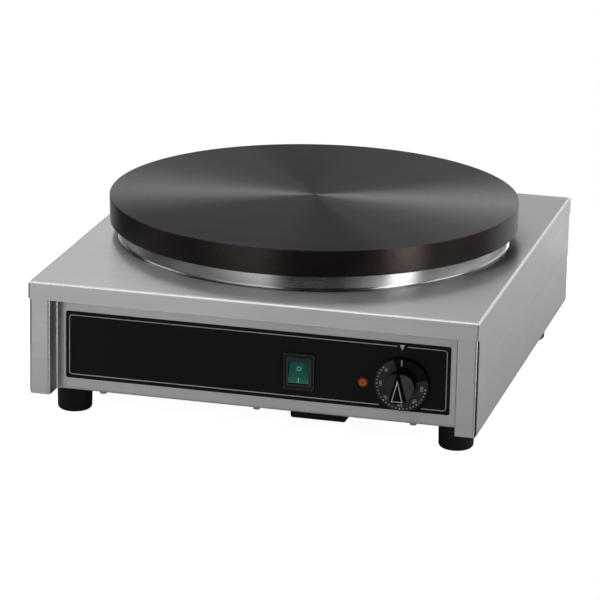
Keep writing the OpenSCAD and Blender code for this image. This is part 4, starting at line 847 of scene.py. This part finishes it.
def surroundings():
    """White to the camera. The pieces reflect a dim front, a bright strip at the right and a pale rear."""
    world = bpy.data.worlds.new("studio")
    bpy.context.scene.world = world
    world.use_nodes = True
    s = Sheet(world.node_tree)
    ground = next(n for n in world.node_tree.nodes if n.type == "BACKGROUND")
    way = s.add("ShaderNodeSeparateXYZ", {0: s.add("ShaderNodeTexCoord").outputs["Generated"]})
    azimuth = s.math("ARCTAN2", way.outputs[0], s.math("MULTIPLY", way.outputs[1], -1.0))
    # degrees clockwise from the front, seen from above, and the light's level there
    stops = [(-180, 1.9), (-175, 1.9), (-170, 0.7), (-145, 0.5), (-125, 0.04), (-75, 0.02), (-53, 0.2),
             (-31, 0.8), (-14, 1.1), (-5, 0.12), (1, 0.0), (44, 0.0), (57, 0.15), (61, 4.0), (73, 4.2),
             (78, 0.2), (108, 0.1), (124, 0.2), (133, 0.8), (150, 0.85), (166, 0.7), (171, 0.5), (176, 1.9),
             (180, 1.9)]
    band = s.add("ShaderNodeValToRGB", {0: s.span(azimuth, -math.pi, math.pi)})
    ramp = band.color_ramp
    for degrees, _ in stops[1:-1]:
        ramp.elements.new(degrees / 360 + 0.5)
    for element, (_, level) in zip(ramp.elements, stops):
        element.color = (level, level, level, 1)
    overhead = s.span(way.outputs[2], 0.78, 0.88)
    level = s.blend(overhead, band.outputs[0], (0.5, 0.5, 0.5, 1))
    seen = s.add("ShaderNodeLightPath").outputs["Is Camera Ray"]
    s.feed(s.blend(seen, level, (1, 1, 1, 1)), ground.inputs["Color"])


def lamps():
    """Soft boxes, each turned to the middle of the casing."""
    aim = Vector((0, 0, 0.1))
    for name, where, size, power in (
            ("rear softbox", (-1.0, 1.5, 2.5), (1.4, 0.8), 7.5),
            ("front strip", (0.0, -1.3, 2.9), (2.6, 0.35), 6.0),
            ("left softbox", (-2.6, 0.1, 1.9), (1.6, 1.6), 12.0),
            ("right softbox", (2.6, 0.6, 1.7), (1.4, 1.8), 12.0)):
        lamp = bpy.data.lights.new(name, "AREA")
        lamp.shape = "RECTANGLE"
        lamp.size, lamp.size_y, lamp.energy = *size, power
        made = bpy.data.objects.new(name, lamp)
        bpy.context.scene.collection.objects.link(made)
        made.location = where
        made.rotation_euler = (aim - Vector(where)).to_track_quat("-Z", "Y").to_euler()


def camera():
    """At the photograph's viewing angle."""
    azimuth, elevation, roll = (math.radians(a) for a in (14.19, 16.82, 1.18))
    target, distance, lens = Vector((-11.26, 0, 72.58)) * MM, 3.42385, 208.53
    back = Vector((math.sin(azimuth) * math.cos(elevation), -math.cos(azimuth) * math.cos(elevation),
                   math.sin(elevation)))
    level_right = (-back).cross(Vector((0, 0, 1))).normalized()
    level_up = level_right.cross(-back)
    right = level_right * math.cos(roll) + level_up * math.sin(roll)
    up = level_up * math.cos(roll) - level_right * math.sin(roll)
    data = bpy.data.cameras.new("camera")
    data.sensor_fit, data.sensor_width, data.lens = "HORIZONTAL", 36.0, lens
    made = bpy.data.objects.new("camera", data)
    bpy.context.scene.collection.objects.link(made)
    place = Matrix((right, up, back)).transposed().to_4x4()
    place.translation = target + back * distance
    made.matrix_world = place
    bpy.context.scene.camera = made


table()
surroundings()
lamps()
camera()
bpy.context.scene.view_settings.view_transform = "Standard"

bpy.context.view_layer.update()
